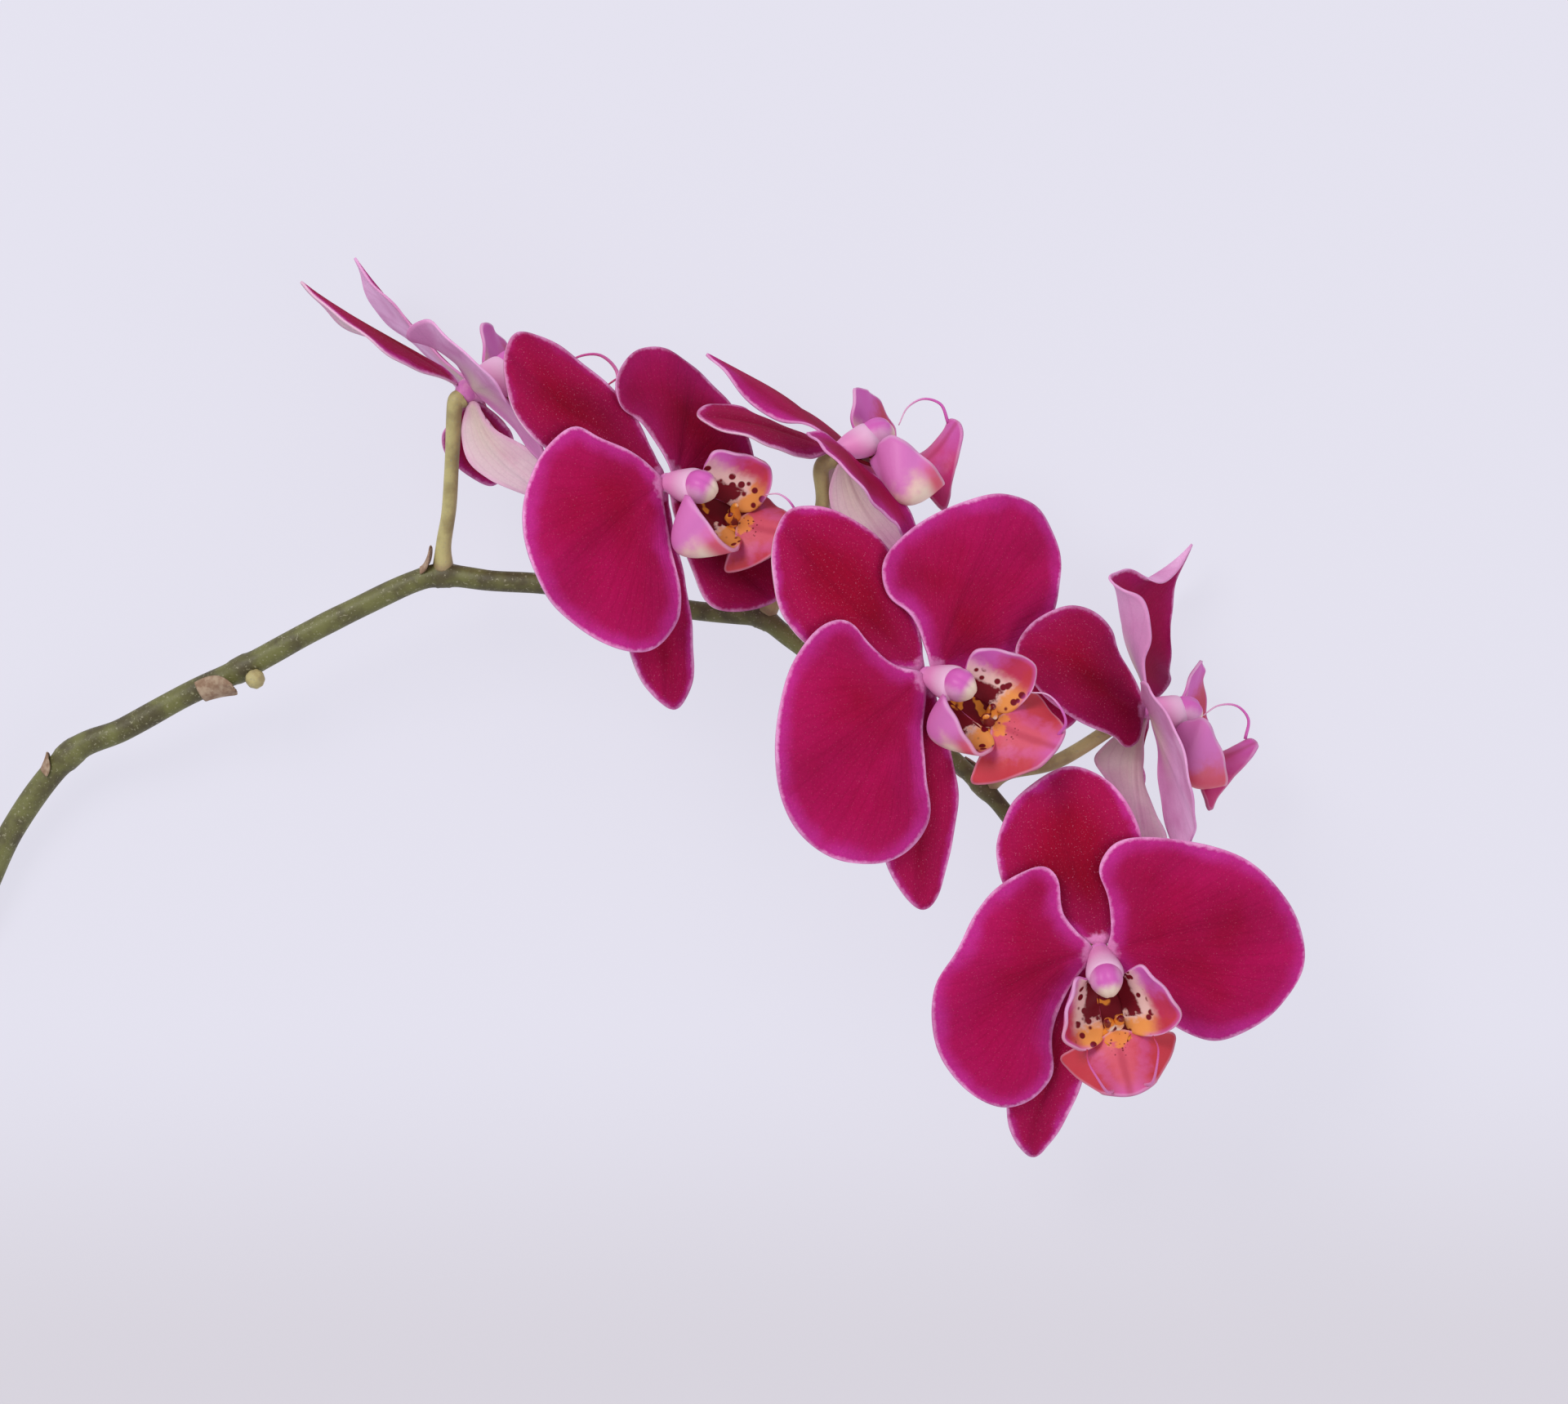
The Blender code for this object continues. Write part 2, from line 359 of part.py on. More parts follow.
def sweep(route, sides, rings, knots=()):
    """A round tube along a route of (x, y, z, radius), closed with flat ends, thicker at its knots."""
    points = [np.array(p, dtype=float) for p in route]
    centres = [spline(points, i / rings) for i in range(rings + 1)]
    bm = bmesh.new()
    loops = []
    side = None
    for i, centre in enumerate(centres):
        ahead = Vector(centres[min(i + 1, rings)][:3] - centres[max(i - 1, 0)][:3]).normalized()
        side = ahead.orthogonal() if side is None else side
        side = (side - ahead * side.dot(ahead)).normalized()
        other = ahead.cross(side)
        radius = centre[3]
        for knot in knots:
            gap = np.linalg.norm(points[knot][:3] - centre[:3])
            radius += KNOT_HEIGHT * math.exp(-(2.0 * gap / KNOT_LENGTH) ** 2)
        ring = bmesh.ops.create_circle(bm, segments=sides, radius=radius)["verts"]
        for vert in ring:
            vert.co = Vector(centre[:3]) + side * vert.co.x + other * vert.co.y
        loops.append(list({edge for vert in ring for edge in vert.link_edges}))
    for first, second in zip(loops, loops[1:]):
        bmesh.ops.bridge_loops(bm, edges=first + second)
    bmesh.ops.holes_fill(bm, edges=bm.edges, sides=sides)
    bmesh.ops.triangulate(bm, faces=[f for f in bm.faces if len(f.verts) > 4])
    bmesh.ops.recalc_face_normals(bm, faces=bm.faces)
    return bm


def ellipsoid(centre, size, divisions=1):
    bm = bmesh.new()
    bmesh.ops.create_icosphere(bm, subdivisions=divisions, radius=1.0)
    bmesh.ops.scale(bm, vec=Vector(size), verts=bm.verts)
    bmesh.ops.translate(bm, vec=Vector(centre), verts=bm.verts)
    return bm


def fuse(name, shapes, surface):
    """Joins closed shapes into one body; their roots run into each other."""
    group = bpy.data.collections.new(name + "_shapes")
    bpy.context.scene.collection.children.link(group)
    body = new_object(name, shapes[0], surface)
    for i, shape in enumerate(shapes[1:]):
        tool = new_object(f"{name}_shape_{i}", shape, surface)
        bpy.context.scene.collection.objects.unlink(tool)
        group.objects.link(tool)
    union = body.modifiers.new("union", "BOOLEAN")
    union.operation = "UNION"
    union.operand_type = "COLLECTION"
    union.collection = group
    union.solver = "EXACT"
    bpy.context.view_layer.update()
    joined = bpy.data.meshes.new_from_object(body.evaluated_get(bpy.context.evaluated_depsgraph_get()))
    body.modifiers.clear()
    body.data = joined
    for tool in list(group.objects):
        bpy.data.objects.remove(tool, do_unlink=True)
    bpy.data.collections.remove(group)
    return body


def bloom_axes(bloom):
    """Columns right, up and forward of a bloom, square to each other, from its facing and its up."""
    forward = Vector(bloom["facing"]).normalized()
    up = Vector(bloom["up"])
    up = (up - forward * up.dot(forward)).normalized()
    return Matrix((up.cross(forward), up, forward)).transposed()


def place(bm, axes, centre):
    """Takes a shape from a bloom's right, up and forward to its place on the stem."""
    bmesh.ops.transform(bm, matrix=Matrix.Translation(Vector(centre)) @ axes.to_4x4(), verts=bm.verts)
    return bm


def mirrored(points):
    return [(-p[0], *p[1:]) for p in points]


def drooped(points, bloom):
    """Turns the lip's middle lobe down about its hinge, and shortens it where a bloom's is shorter."""
    turn = Matrix.Rotation(math.radians(bloom["droop"]), 3, "X") * bloom.get("reach", 1.0)
    hinge = Vector(LIP_HINGE)
    return [tuple(hinge + turn @ (Vector(p[:3]) - hinge)) + tuple(p[3:]) for p in points]


def spread(points, share):
    """Closes or opens a side lobe by its distance from the middle plane, more toward its free margin."""
    return [(p[0] * (share if abs(p[0]) > 4.0 else 1.0), p[1], p[2]) for p in points]


def make_lip(name, bloom, surface):
    axes, centre = bloom_axes(bloom), bloom["centre"]
    left, right = (spread(LIP_SIDE, share) for share in bloom["spread"])
    tendril = [(*p, TENDRIL_RADIUS) for p in LIP_TENDRIL]
    shapes = [
        blade(Sheet(LIP_CLAW, (0.0, -0.6, -0.4), (0, 0.7, 0.7)), 4, LIP_THICKNESS),
        blade(Sheet(drooped(LIP_MIDDLE, bloom), (0.0, 1.2, 0.8), (0, 1, 0.3)), 5, LIP_THICKNESS),
        blade(Sheet(right, (1.2, -0.6, 0.0), (-1, 0.3, 0.3)), 5, LIP_THICKNESS),
        blade(Sheet(mirrored(left), (-1.2, -0.6, 0.0), (1, 0.3, 0.3)), 5, LIP_THICKNESS),
        ellipsoid(CALLUS_CENTRE, CALLUS_SIZE),
        sweep(drooped(tendril, bloom), 4, 6),
        sweep(drooped(mirrored(tendril), bloom), 4, 6),
    ]
    return fuse(name, [place(shape, axes, centre) for shape in shapes], surface)


def make_column(name, bloom, surface):
    shapes = [ellipsoid((0.0, 0.0, 0.0), (KNOB_RADIUS,) * 3, 2), sweep(COLUMN_ROUTE, 8, 6),
              ellipsoid(ANTHER_CENTRE, ANTHER_SIZE, 2)]
    return fuse(name, [place(shape, bloom_axes(bloom), bloom["centre"]) for shape in shapes], surface)


def make_pedicel(name, bloom, surface):
    """The flower's stalk, from just off the stem to just behind the bloom."""
    centre = Vector(bloom["centre"])
    back = -Vector(bloom["facing"]).normalized()
    node = bloom["node"]
    x, y, z, stem_radius = STEM_ROUTE[node]
    along = (Vector(STEM_ROUTE[node + 1][:3]) - Vector(STEM_ROUTE[node - 1][:3])).normalized()
    out = centre + Vector(bloom["pedicel"][0]) - Vector((x, y, z))
    out = (out - along * out.dot(along)).normalized()
    foot = Vector((x, y, z)) + out * (stem_radius + KNOT_HEIGHT + CLEARANCE)
    route = [(*foot, 2.1), (*(foot + out * 4.0), 1.7)]
    route += [(*(centre + Vector(p)), 1.6) for p in bloom["pedicel"]]
    route.append((*(centre + back * (KNOB_RADIUS + 3.2)), 1.8))
    route.append((*(centre + back * (KNOB_RADIUS + CLEARANCE)), 2.2))
    return new_object(name, sweep(route, 8, 10), surface)


def make_bloom(letter, bloom, surfaces):
    centre = Vector(bloom["centre"])
    prefix = f"bloom_{letter}_"
    make_column(prefix + "column", bloom, surfaces["column"])
    make_lip(prefix + "lip", bloom, surfaces["lip"])
    make_pedicel(prefix + "pedicel", bloom, surfaces["pedicel"])
    for part in ("dorsal_sepal", "petal_left", "petal_right", "sepal_left", "sepal_right"):
        margin, bulge, front = bloom[part]
        world = [centre + Vector(p) for p in margin]
        kind = "petal" if part.startswith("petal") else "sepal"
        sheet = Sheet(world, bulge, front or bloom["facing"])
        cells = 7 if kind == "petal" else 6
        new_object(prefix + part, blade(sheet, cells, TEPAL_THICKNESS, table=True), surfaces[kind])


def make_bract(name, node, opening, length, half_angle, surface):
    """A pointed scale wrapped part of the way round the stem, its tip standing off a little."""
    here = Vector(STEM_ROUTE[node][:3])
    along = (here - Vector(STEM_ROUTE[node - 1][:3])).normalized()
    out = Vector(opening)
    out = (out - along * out.dot(along)).normalized()
    side = along.cross(out)
    radius = STEM_ROUTE[node][3] + KNOT_HEIGHT + BRACT_THICKNESS / 2 + BRACT_GAP
    bm = bmesh.new()
    bmesh.ops.create_grid(bm, x_segments=6, y_segments=5, size=1.0)
    for vert in bm.verts:
        height = (vert.co.y + 1) / 2
        turn = math.radians(half_angle) * vert.co.x * (1.0 - 0.9 * height ** 2)
        reach = radius + BRACT_FLARE * length * height ** 2
        vert.co = (here + along * ((height - 1.0) * length - BRACT_SETBACK)
                   + (out * math.cos(turn) + side * math.sin(turn)) * reach)
    bmesh.ops.triangulate(bm, faces=bm.faces)
    bm.normal_update()
    thicken(bm, BRACT_THICKNESS)
    return new_object(name, bm, surface)


def make_bud(surface):
    """The dormant bud in the middle bract's axil, clear of both the stem and the scale."""
    x, y, z, radius = STEM_ROUTE[BUD_NODE]
    out = Vector((0.55, -0.45, 0.70)).normalized()
    centre = Vector((x, y, z)) + out * (radius + KNOT_HEIGHT + BUD_RADIUS + CLEARANCE)
    return new_object("dormant_bud", ellipsoid(centre, (BUD_RADIUS,) * 3, 2), surface)


def stand_on_origin():
    """Moves everything so that the middle of the footprint is at the origin, on the table's surface."""
    low = Vector((math.inf,) * 3)
    high = Vector((-math.inf,) * 3)
    for item in bpy.data.objects:
        for vert in item.data.vertices:
            low = Vector(map(min, low, vert.co))
            high = Vector(map(max, high, vert.co))
    shift = Matrix.Translation(Vector((-(low.x + high.x) / 2, -(low.y + high.y) / 2, -low.z)))
    for item in bpy.data.objects:
        item.data.transform(shift)


def main():
    clear_scene()
    surfaces = {
        "stem": material("stem_green", STEM_COLOUR, 0.5),
        "pedicel": material("pedicel_green", PEDICEL_COLOUR, 0.5),
        "bract": material("bract_tan", BRACT_COLOUR, 0.7),
        "petal": material("petal_magenta", PETAL_COLOUR, 0.6),
        "sepal": material("sepal_crimson", SEPAL_COLOUR, 0.6),
        "lip": material("lip_coral", LIP_COLOUR, 0.5),
        "column": material("column_violet", COLUMN_COLOUR, 0.45),
    }
    knots = sorted({node for node, *_ in BRACTS.values()})
    stem = sweep(STEM_ROUTE, STEM_SIDES, STEM_RINGS, knots)
    settle(stem)
    new_object("stem", stem, surfaces["stem"])
    for name, (node, opening, length, half_angle) in BRACTS.items():
        make_bract(name, node, opening, length, half_angle, surfaces["bract"])
    make_bud(surfaces["pedicel"])
    for letter, bloom in BLOOMS.items():
        make_bloom(letter, bloom, surfaces)
    stand_on_origin()


main()
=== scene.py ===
"""Looks of a cut moth orchid stem with six open blooms, lying on a pale table and seen from above.

Sizes are millimetres until a mesh is made. A tepal's margin is given from its bloom's centre: x to the
picture's right, y to its top, z off the table. The lip and the column are given as right, up and forward,
the way their bloom faces.
"""
import math

import bmesh
import bpy
import numpy as np
from mathutils import Matrix, Vector


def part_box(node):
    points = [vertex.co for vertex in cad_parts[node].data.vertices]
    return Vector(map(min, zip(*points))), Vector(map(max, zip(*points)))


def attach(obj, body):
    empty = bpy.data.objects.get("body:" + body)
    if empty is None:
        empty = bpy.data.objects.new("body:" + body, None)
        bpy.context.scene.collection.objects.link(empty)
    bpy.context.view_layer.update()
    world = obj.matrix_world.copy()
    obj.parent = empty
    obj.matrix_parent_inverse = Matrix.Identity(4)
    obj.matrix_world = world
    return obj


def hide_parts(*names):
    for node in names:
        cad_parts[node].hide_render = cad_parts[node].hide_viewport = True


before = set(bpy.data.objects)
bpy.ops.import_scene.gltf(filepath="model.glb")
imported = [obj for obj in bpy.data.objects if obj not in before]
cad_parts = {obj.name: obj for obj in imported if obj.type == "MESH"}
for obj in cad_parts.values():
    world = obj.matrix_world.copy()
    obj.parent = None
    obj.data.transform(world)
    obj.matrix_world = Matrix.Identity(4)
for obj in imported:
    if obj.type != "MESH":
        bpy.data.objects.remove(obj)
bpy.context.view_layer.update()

MM = 0.001

# The picture's width in pixels, and the millimetres that a pixel shows at BLOOM_HEIGHT. The camera is
# CAMERA_HEIGHT above that. Both heights are in metres.
PICTURE_WIDTH = 1920
PIXEL = 0.19
BLOOM_HEIGHT = 0.045
CAMERA_HEIGHT = 2.2
SENSOR_WIDTH = 36.0

# The table and the light, in metres and watts.
TABLE_SIZE = 3.0
TABLE_DROP = 0.0002
TABLE_LOW = (0.255, 0.245, 0.270)
TABLE_HIGH = (0.288, 0.283, 0.320)
TABLE_FADE = (-0.16, -0.07)
TABLE_GLOW = 2.37
TABLE_SHADE = 0.3
SKY_COLOUR = (0.95, 0.96, 1.0, 1.0)
SKY_STRENGTH = 0.55
# Each lamp: where it hangs, how wide it is, its power and its colour.
LAMPS = {"key": ((-0.9, 0.9, 1.5), 1.0, 22.0, (1.0, 0.98, 0.96)),
         "fill": ((1.1, -0.5, 1.2), 1.2, 8.0, (0.96, 0.97, 1.0))}

# How finely the margins, sheets and tubes are drawn.
SPAN_SAMPLES = 16
MARGIN_SAMPLES = 96
EDGE_SAMPLES = 600
HARMONICS = 24
TEPAL_CELLS = {"petal": 44, "sepal": 36}
# Each tube: its sides and its rings.
TUBES = {"column": (28, 22), "horn": (14, 12), "tendril": (10, 26), "stalk": (18, 60), "stem": (26, 340)}
BRACT_CELLS = (18, 20)
LEAST_RADIUS = 0.02

# Tepals: a wavy margin, a crease down the middle, and lines that fan out from the claw.
TEPAL_THICKNESS = 0.55
WAVES = {"petal": 5, "sepal": 4}
WAVE_HEIGHT = 0.35
CREASE_DEPTH = 0.5
CREASE_WIDTH = 0.10
FAN_BLUR = 0.05
# Nearer to the bloom's middle than CLAW_START, a margin is drawn in to CLAW_SHARE of its distance. Past a
# further CLAW_LENGTH it isn't drawn in at all.
CLAW_START = 3.0
CLAW_LENGTH = 6.0
CLAW_SHARE = 0.45
# A tepal whose front skin faces back, and the fronts that lie in shade, with the factor by which painted
# shade darkens each of them.
TURNED_OVER = ("a_sepal_right",)
PAINTED_SHADE_FACTORS = {"b_petal_right": 0.72, "b_dorsal_sepal": 0.86, "b_sepal_right": 0.85, "c_dorsal_sepal": 0.85,
         "c_sepal_left": 0.85, "e_petal_left": 0.9, "e_petal_right": 0.82, "e_dorsal_sepal": 0.85}

# The stem's middle line and radius, from the cut end to the tip.
STEM_ROUTE = [
    (-218.5, -83.7, 2.5, 2.75), (-196.0, -57.0, 4.0, 2.70), (-182.4, -29.9, 7.0, 2.60),
    (-168.7, -12.4, 11.0, 2.60), (-155.8, -6.4, 14.0, 2.50), (-140.6, 1.8, 17.0, 2.45),
    (-127.3, 7.9, 20.0, 2.45), (-112.1, 16.1, 23.0, 2.40), (-100.7, 21.8, 25.0, 2.35),
    (-87.4, 28.0, 27.0, 2.30), (-79.8, 29.7, 28.0, 2.30), (-68.4, 28.4, 30.0, 2.20),
    (-56.1, 27.6, 31.0, 2.15), (-39.9, 25.0, 33.0, 2.10), (-23.6, 21.8, 34.0, 2.05),
    (-11.4, 20.4, 34.5, 2.00), (-4.8, 19.5, 35.0, 2.00), (1.9, 14.5, 35.0, 1.95),
    (19.0, 1.8, 34.5, 1.90), (34.2, -8.6, 34.0, 1.80), (46.6, -20.0, 33.0, 1.75),
    (53.2, -27.7, 32.5, 1.70), (62.7, -41.9, 31.0, 1.60), (64.6, -45.6, 30.5, 1.1),
]
# It swells at its joints, with a thin scar ring round each, and ripples a little all along.
STEM_FULLNESS = 1.12
KNOT_HEIGHT = 0.45
KNOT_LENGTH = 5.0
RING_HEIGHT = 0.14
RING_PLACE = 1.6
RING_WIDTH = 0.35
JOINT_LENGTH = 2.2
FINE_WAVE = 0.012
STEM_RIPPLES = 140.0

# A bloom's stalk: its radii from its foot, which sits in the stem, to its end, which sits in the knob.
STALK_FULLNESS = 1.04
STALK_RADII = (2.4, 1.75, 1.65, 1.65, 1.85, 2.3)
STALK_SUNK = 0.6
STALK_RISE = 6.0
STALK_LEAN = 1.5
STALK_HOOK = 3.2
STALK_JOINT = 0.06
STALK_RIPPLES = 31.0
KNOB_RADIUS = 3.1
KNOB_SUNK = 0.8


def bowl(slope_x, slope_y, sag=0.0030):
    """Height over a bloom's centre of the shallow dish that a front-facing bloom's tepals follow."""
    return lambda x, y: slope_x * x + slope_y * y - sag * (x * x + y * y)


def laid_on(dish, level, bulge, outline):
    """A tepal whose outline of (x, y) points lies on a dish or a little off it, with an upward bulge."""
    return [(x, y, dish(x, y) + level) for x, y in outline], (0.0, 0.0, bulge)


# Petals lie a little above their bloom's dish, and sepals a little below it.
PETAL_LEVEL = 1.3
SEPAL_LEVEL = -1.2
DISH_B = bowl(-0.68, -0.20)
DISH_B_RAISED = bowl(-0.48, -0.20)
DISH_D = bowl(-0.60, -0.08)
DISH_F = bowl(-0.08, 0.30)

# Each bloom: its centre, the way it faces and its up, then what is its own in the lip and stalk:
#   droop        degrees by which the lip's middle lobe turns up (below 0) or down (above 0)
#   spread       how wide its left and its right side lobe stand open
#   far_shift    millimetres by which its right side lobe is shifted up and forward
#   lip_size     size of its lip and column, where it isn't 1
#   middle_size  size of the middle lobe, where it isn't 1
#   tip_width    width of the middle lobe past its corners, where it isn't 1
#   claw, hook   its own CLAW_SHARE and STALK_HOOK
#   node         the point of the stem's route where its stalk starts
#   pedicel      two points of the stalk's route, from the bloom's centre
# Each tepal: its margin, its middle's bulge, and the way its front faces where that isn't the bloom's facing.
BLOOMS = {
    "a": {
        "centre": (-73.7, 72.5, 41.0), "facing": (0.66, 0.735, -0.15), "up": (-0.62, 0.56, 0.52),
        "droop": 4.0, "spread": (1.0, 1.2), "far_shift": (3.0, 1.0), "lip_size": 1.3, "claw": 0.9,
        "hook": 1.4, "node": 10, "pedicel": [(-4.6, -27.0, -7.5), (-3.7, -14.0, -3.2)],
        "dorsal_sepal": ([
            (-2.7, 1.6, 0.8), (-7.5, 3.2, 7), (-18, 8, 16), (-29, 16.5, 17), (-35.5, 22.3, 13),
            (-38.8, 24.7, 7), (-34, 20, 1), (-27, 14, -5), (-16, 10.6, -8), (-7, 6.5, -4.5)],
            (0.8, 1.2, 0.0), (0.3, 1.0, 0.2)),
        "petal_right": ([
            (-1, 3, -3.6), (-13, 15, -8), (-23.5, 26.5, -13), (-27, 32, -20), (-24, 22, -33),
            (-14, 12, -41.4), (-3, 1.5, -41.4), (3.5, -5.5, -30), (4.2, -4.8, -15), (2.8, -1.2, -6)],
            (0.3, 0.3, 0.0)),
        "petal_left": ([
            (1, 1.8, 3.8), (-6, 9, 9), (-13.5, 12.3, 19), (-8, 15, 31), (0, 8, 36), (7, 0.8, 33),
            (12.5, -6.5, 24), (17, -13, 17.5), (20, -19, 13), (15, -14, 11), (8, -6, 8), (3.4, -1.6, 4)],
            (1.2, 1.2, 0.0)),
        "sepal_left": ([
            (0.2, -3.4, 0.8), (-1.5, -10, -0.5), (0, -16, 0), (5, -20.5, 1.5), (13, -24, 3.5), (25, -27, 5),
            (22, -18.5, 6.5), (13.5, -13, 5), (5.5, -8.4, 2.6), (2.8, -3.4, 1.2)], (-1.0, -1.0, 0.5)),
        "sepal_right": ([
            (0.2, -3, -1.6), (-3.3, -6, -5), (-6.2, -10.5, -9), (-4.5, -16, -15), (4.5, -21.5, -26),
            (9.5, -15, -26), (9.5, -9, -19), (4, -3.4, -6.5)], (0.8, 0.8, 0.0)),
    },
    "b": {
        "centre": (-27.0, 50.8, 56.0), "facing": (0.555, 0.163, 0.815), "up": (-0.70, 0.60, 0.40),
        "droop": 12.0, "spread": (0.65, 0.90), "middle_size": 0.80,
        "node": 13, "pedicel": [(-14.0, -17.0, -19.5), (-9.5, -6.0, -13.0)],
        "dorsal_sepal": laid_on(DISH_B, SEPAL_LEVEL, 1.2, [
            (-2.9, 2.6), (-12, 3), (-22, 5), (-30.5, 9.5), (-35.5, 17), (-37.4, 27), (-35.3, 34),
            (-28.5, 33.2), (-21, 28.8), (-12, 20.7), (-6.3, 13), (-2.4, 5.5)]),
        "petal_right": laid_on(DISH_B, PETAL_LEVEL, 1.5, [
            (2.4, 2.9), (-1.6, 8), (-6, 13.8), (-10.8, 17.6), (-11.9, 23.5), (-8, 30.2), (-1.5, 31.3),
            (7, 26.3), (14.1, 18.8), (19.2, 9), (21, 0.5), (17.5, -5.5), (9.5, -3.2), (4.4, -0.2)]),
        "petal_left": laid_on(DISH_B, PETAL_LEVEL, 2.2, [
            (-2, 0.4), (-7.2, 6.2), (-14.3, 9.6), (-21.5, 12.6), (-28.5, 6.5), (-32.2, -3), (-32.5, -13.5),
            (-28, -25.5), (-20.5, -33.5), (-11.5, -38.5), (-3.5, -38.8), (2, -33), (3, -27), (1, -16),
            (-0.9, -6), (-1.9, -1.5)]),
        "sepal_right": laid_on(DISH_B_RAISED, SEPAL_LEVEL, 1.2, [
            (2.2, -3.2), (9, -6.5), (17, -10), (26, -16), (29, -22.5), (24.5, -27.6), (16.5, -29.8),
            (9.5, -28.2), (5.6, -20), (2.2, -10), (0.9, -4.4)]),
        "sepal_left": laid_on(DISH_B, SEPAL_LEVEL - 2.2, 1.4, [
            (-0.4, -2.9), (-5, -14), (-9.2, -28), (-9, -38), (-5.5, -46.5), (1.2, -52.6), (5.1, -47.5),
            (5.9, -38), (5.2, -29), (2.2, -16), (0.6, -7)]),
    },
    "c": {
        "centre": (13.1, 58.6, 41.0), "facing": (0.705, 0.705, 0.06), "up": (-0.61, 0.57, 0.55),
        "droop": -26.0, "spread": (1.0, 1.25), "far_shift": (4.0, 1.0), "tip_width": 0.7,
        "node": 16, "pedicel": [(-9.0, -27.0, -4.0), (-4.2, -13.0, -2.0)],
        "dorsal_sepal": ([
            (-3.4, 0.9, 0.9), (-7, -2.2, 8), (-12, -0.8, 15), (-21, 2.2, 21), (-29, 4.7, 21),
            (-33.2, 8.4, 17), (-29.6, 10, 11), (-22.4, 9.7, 7.5), (-14, 5.5, 0), (-7, 3, -2.5)],
            (0.0, 1.5, 1.5), (0.2, 1.0, 0.3)),
        "petal_right": ([
            (-0.8, 2.4, -2.8), (-8, 6, -4.5), (-14.5, 7.5, -7), (-21, 11.5, -10), (-28, 19.5, -14),
            (-31.2, 23.4, -20), (-24.7, 19.6, -31), (-15, 13.5, -40.6), (-4, 6, -41.8), (5, -1, -39.6),
            (10, -6.5, -28), (8, -6, -15), (2.2, -0.9, -4.8)], (2.0, 2.0, 0.0)),
        "petal_left": ([
            (1.2, 0.2, 3.5), (-4.5, 4.2, 8), (-8, 3.4, 16), (-4.2, 0.5, 28), (1.5, -6, 34), (7, -12, 30),
            (11.5, -16.7, 20), (15.5, -20.5, 9.5), (18.5, -20, 6.5), (14, -12, 5), (8, -6, 4.5),
            (3.6, -2.4, 3.6)], (0.8, 0.8, 0.5)),
        "sepal_left": ([
            (0.2, -3.5, 0.6), (-2.6, -9, 1.5), (-1, -15.5, 1), (5, -21.5, 0.5), (12, -26.5, 1.5),
            (20, -30.5, 2), (21, -24, 3.5), (13.5, -15.5, 3.5), (6, -8.6, 1.5), (2.8, -3.9, 0)],
            (-1.0, -1.0, 0.5)),
        "sepal_right": ([
            (0.2, -3.9, -2.4), (-4, -5.5, -5.5), (-5, -10, -9), (-2, -15.5, -15), (6, -21.5, -27),
            (10.5, -14, -24), (8, -7.5, -14), (3.6, -3.8, -6)], (0.8, 0.8, 0.0)),
    },
    "d": {
        "centre": (33.3, 6.0, 58.0), "facing": (0.51, 0.068, 0.857), "up": (-0.672, 0.644, 0.361),
        "droop": 12.0, "spread": (0.72, 1.0),
        "node": 18, "pedicel": [(-14.5, -1.5, -16.5), (-9.5, -1.0, -11.5)],
        "dorsal_sepal": laid_on(DISH_D, SEPAL_LEVEL, 1.2, [
            (-3.2, 2.4), (-14, 3), (-26, 6), (-33, 13), (-35.9, 22), (-35.8, 31), (-32.5, 38), (-26, 39.2),
            (-18, 36.4), (-10, 30.5), (-5.5, 23), (-3, 14), (-1.6, 5.2)]),
        "petal_right": laid_on(DISH_D, PETAL_LEVEL, 2.0, [
            (1.5, 3.6), (-1, 8), (-4, 13.8), (-9.3, 19), (-10.2, 26.5), (-4.5, 33.6), (5, 39.2), (16, 42.4),
            (25.2, 40), (30.4, 32), (30.9, 22), (28, 12), (19, 4.6), (9.5, 0.9), (4, 0.5)]),
        "petal_left": laid_on(DISH_D, PETAL_LEVEL, 2.4, [
            (-3.2, 1.6), (-8, 2.6), (-13, 7), (-19, 12.6), (-25.3, 11), (-31.2, 3), (-34.7, -9),
            (-35.1, -22), (-31.3, -34), (-23, -41.5), (-12, -43.3), (-4, -39.8), (0.1, -32), (-0.6, -22),
            (-1.2, -12), (-1.1, -5), (-1.9, -1.7)]),
        "sepal_left": laid_on(DISH_D, SEPAL_LEVEL, 1.4, [
            (-0.6, -4), (-6, -12), (-10, -25), (-10.5, -38), (-8, -47), (-2, -54), (2.6, -50), (5.6, -39),
            (6.8, -28), (5.4, -18), (2.4, -7)]),
        "sepal_right": laid_on(DISH_D, SEPAL_LEVEL - 0.8, 0.6, [
            (2.5, -1.3), (11, 1), (20, 2.6), (30, 1), (36, -4), (35, -10), (29, -13.9), (20, -15),
            (10, -10.4), (2.2, -3.4)]),
    },
    "e": {
        "centre": (85.1, -1.6, 30.5), "facing": (0.951, 0.290, -0.10), "up": (-0.25, 0.80, 0.545),
        "droop": -24.0, "spread": (1.0, 1.4), "far_shift": (2.4, 5.2), "tip_width": 0.55,
        "node": 20, "pedicel": [(-21.5, -12.4, 1.8), (-9.2, -5.0, 0.2)],
        "dorsal_sepal": ([
            (-1.8, -0.4, 3.6), (-2.9, 6.1, 5), (-6.3, 11.8, 6.5), (-8.7, 18.5, 10), (-13.7, 23, 12),
            (-20, 23.8, 14), (-27.5, 20, 17), (-31.3, 14, 19.5), (-29.5, 9.3, 19.5), (-24, 2.3, 17.5),
            (-16, -3.2, 13.5), (-8.5, -6.3, 9), (-5.2, -9, 6.5), (-2, -7, 5)], (-0.5, 0.5, 2.2),
            (0.1, 0.0, 1.0)),
        "petal_right": ([
            (1.4, 3.9, -1.5), (-0.8, 10.8, 2), (0.3, 16, 5), (0, 23, 6.5), (-2, 26.4, 7), (-5.6, 27.9, 5.5),
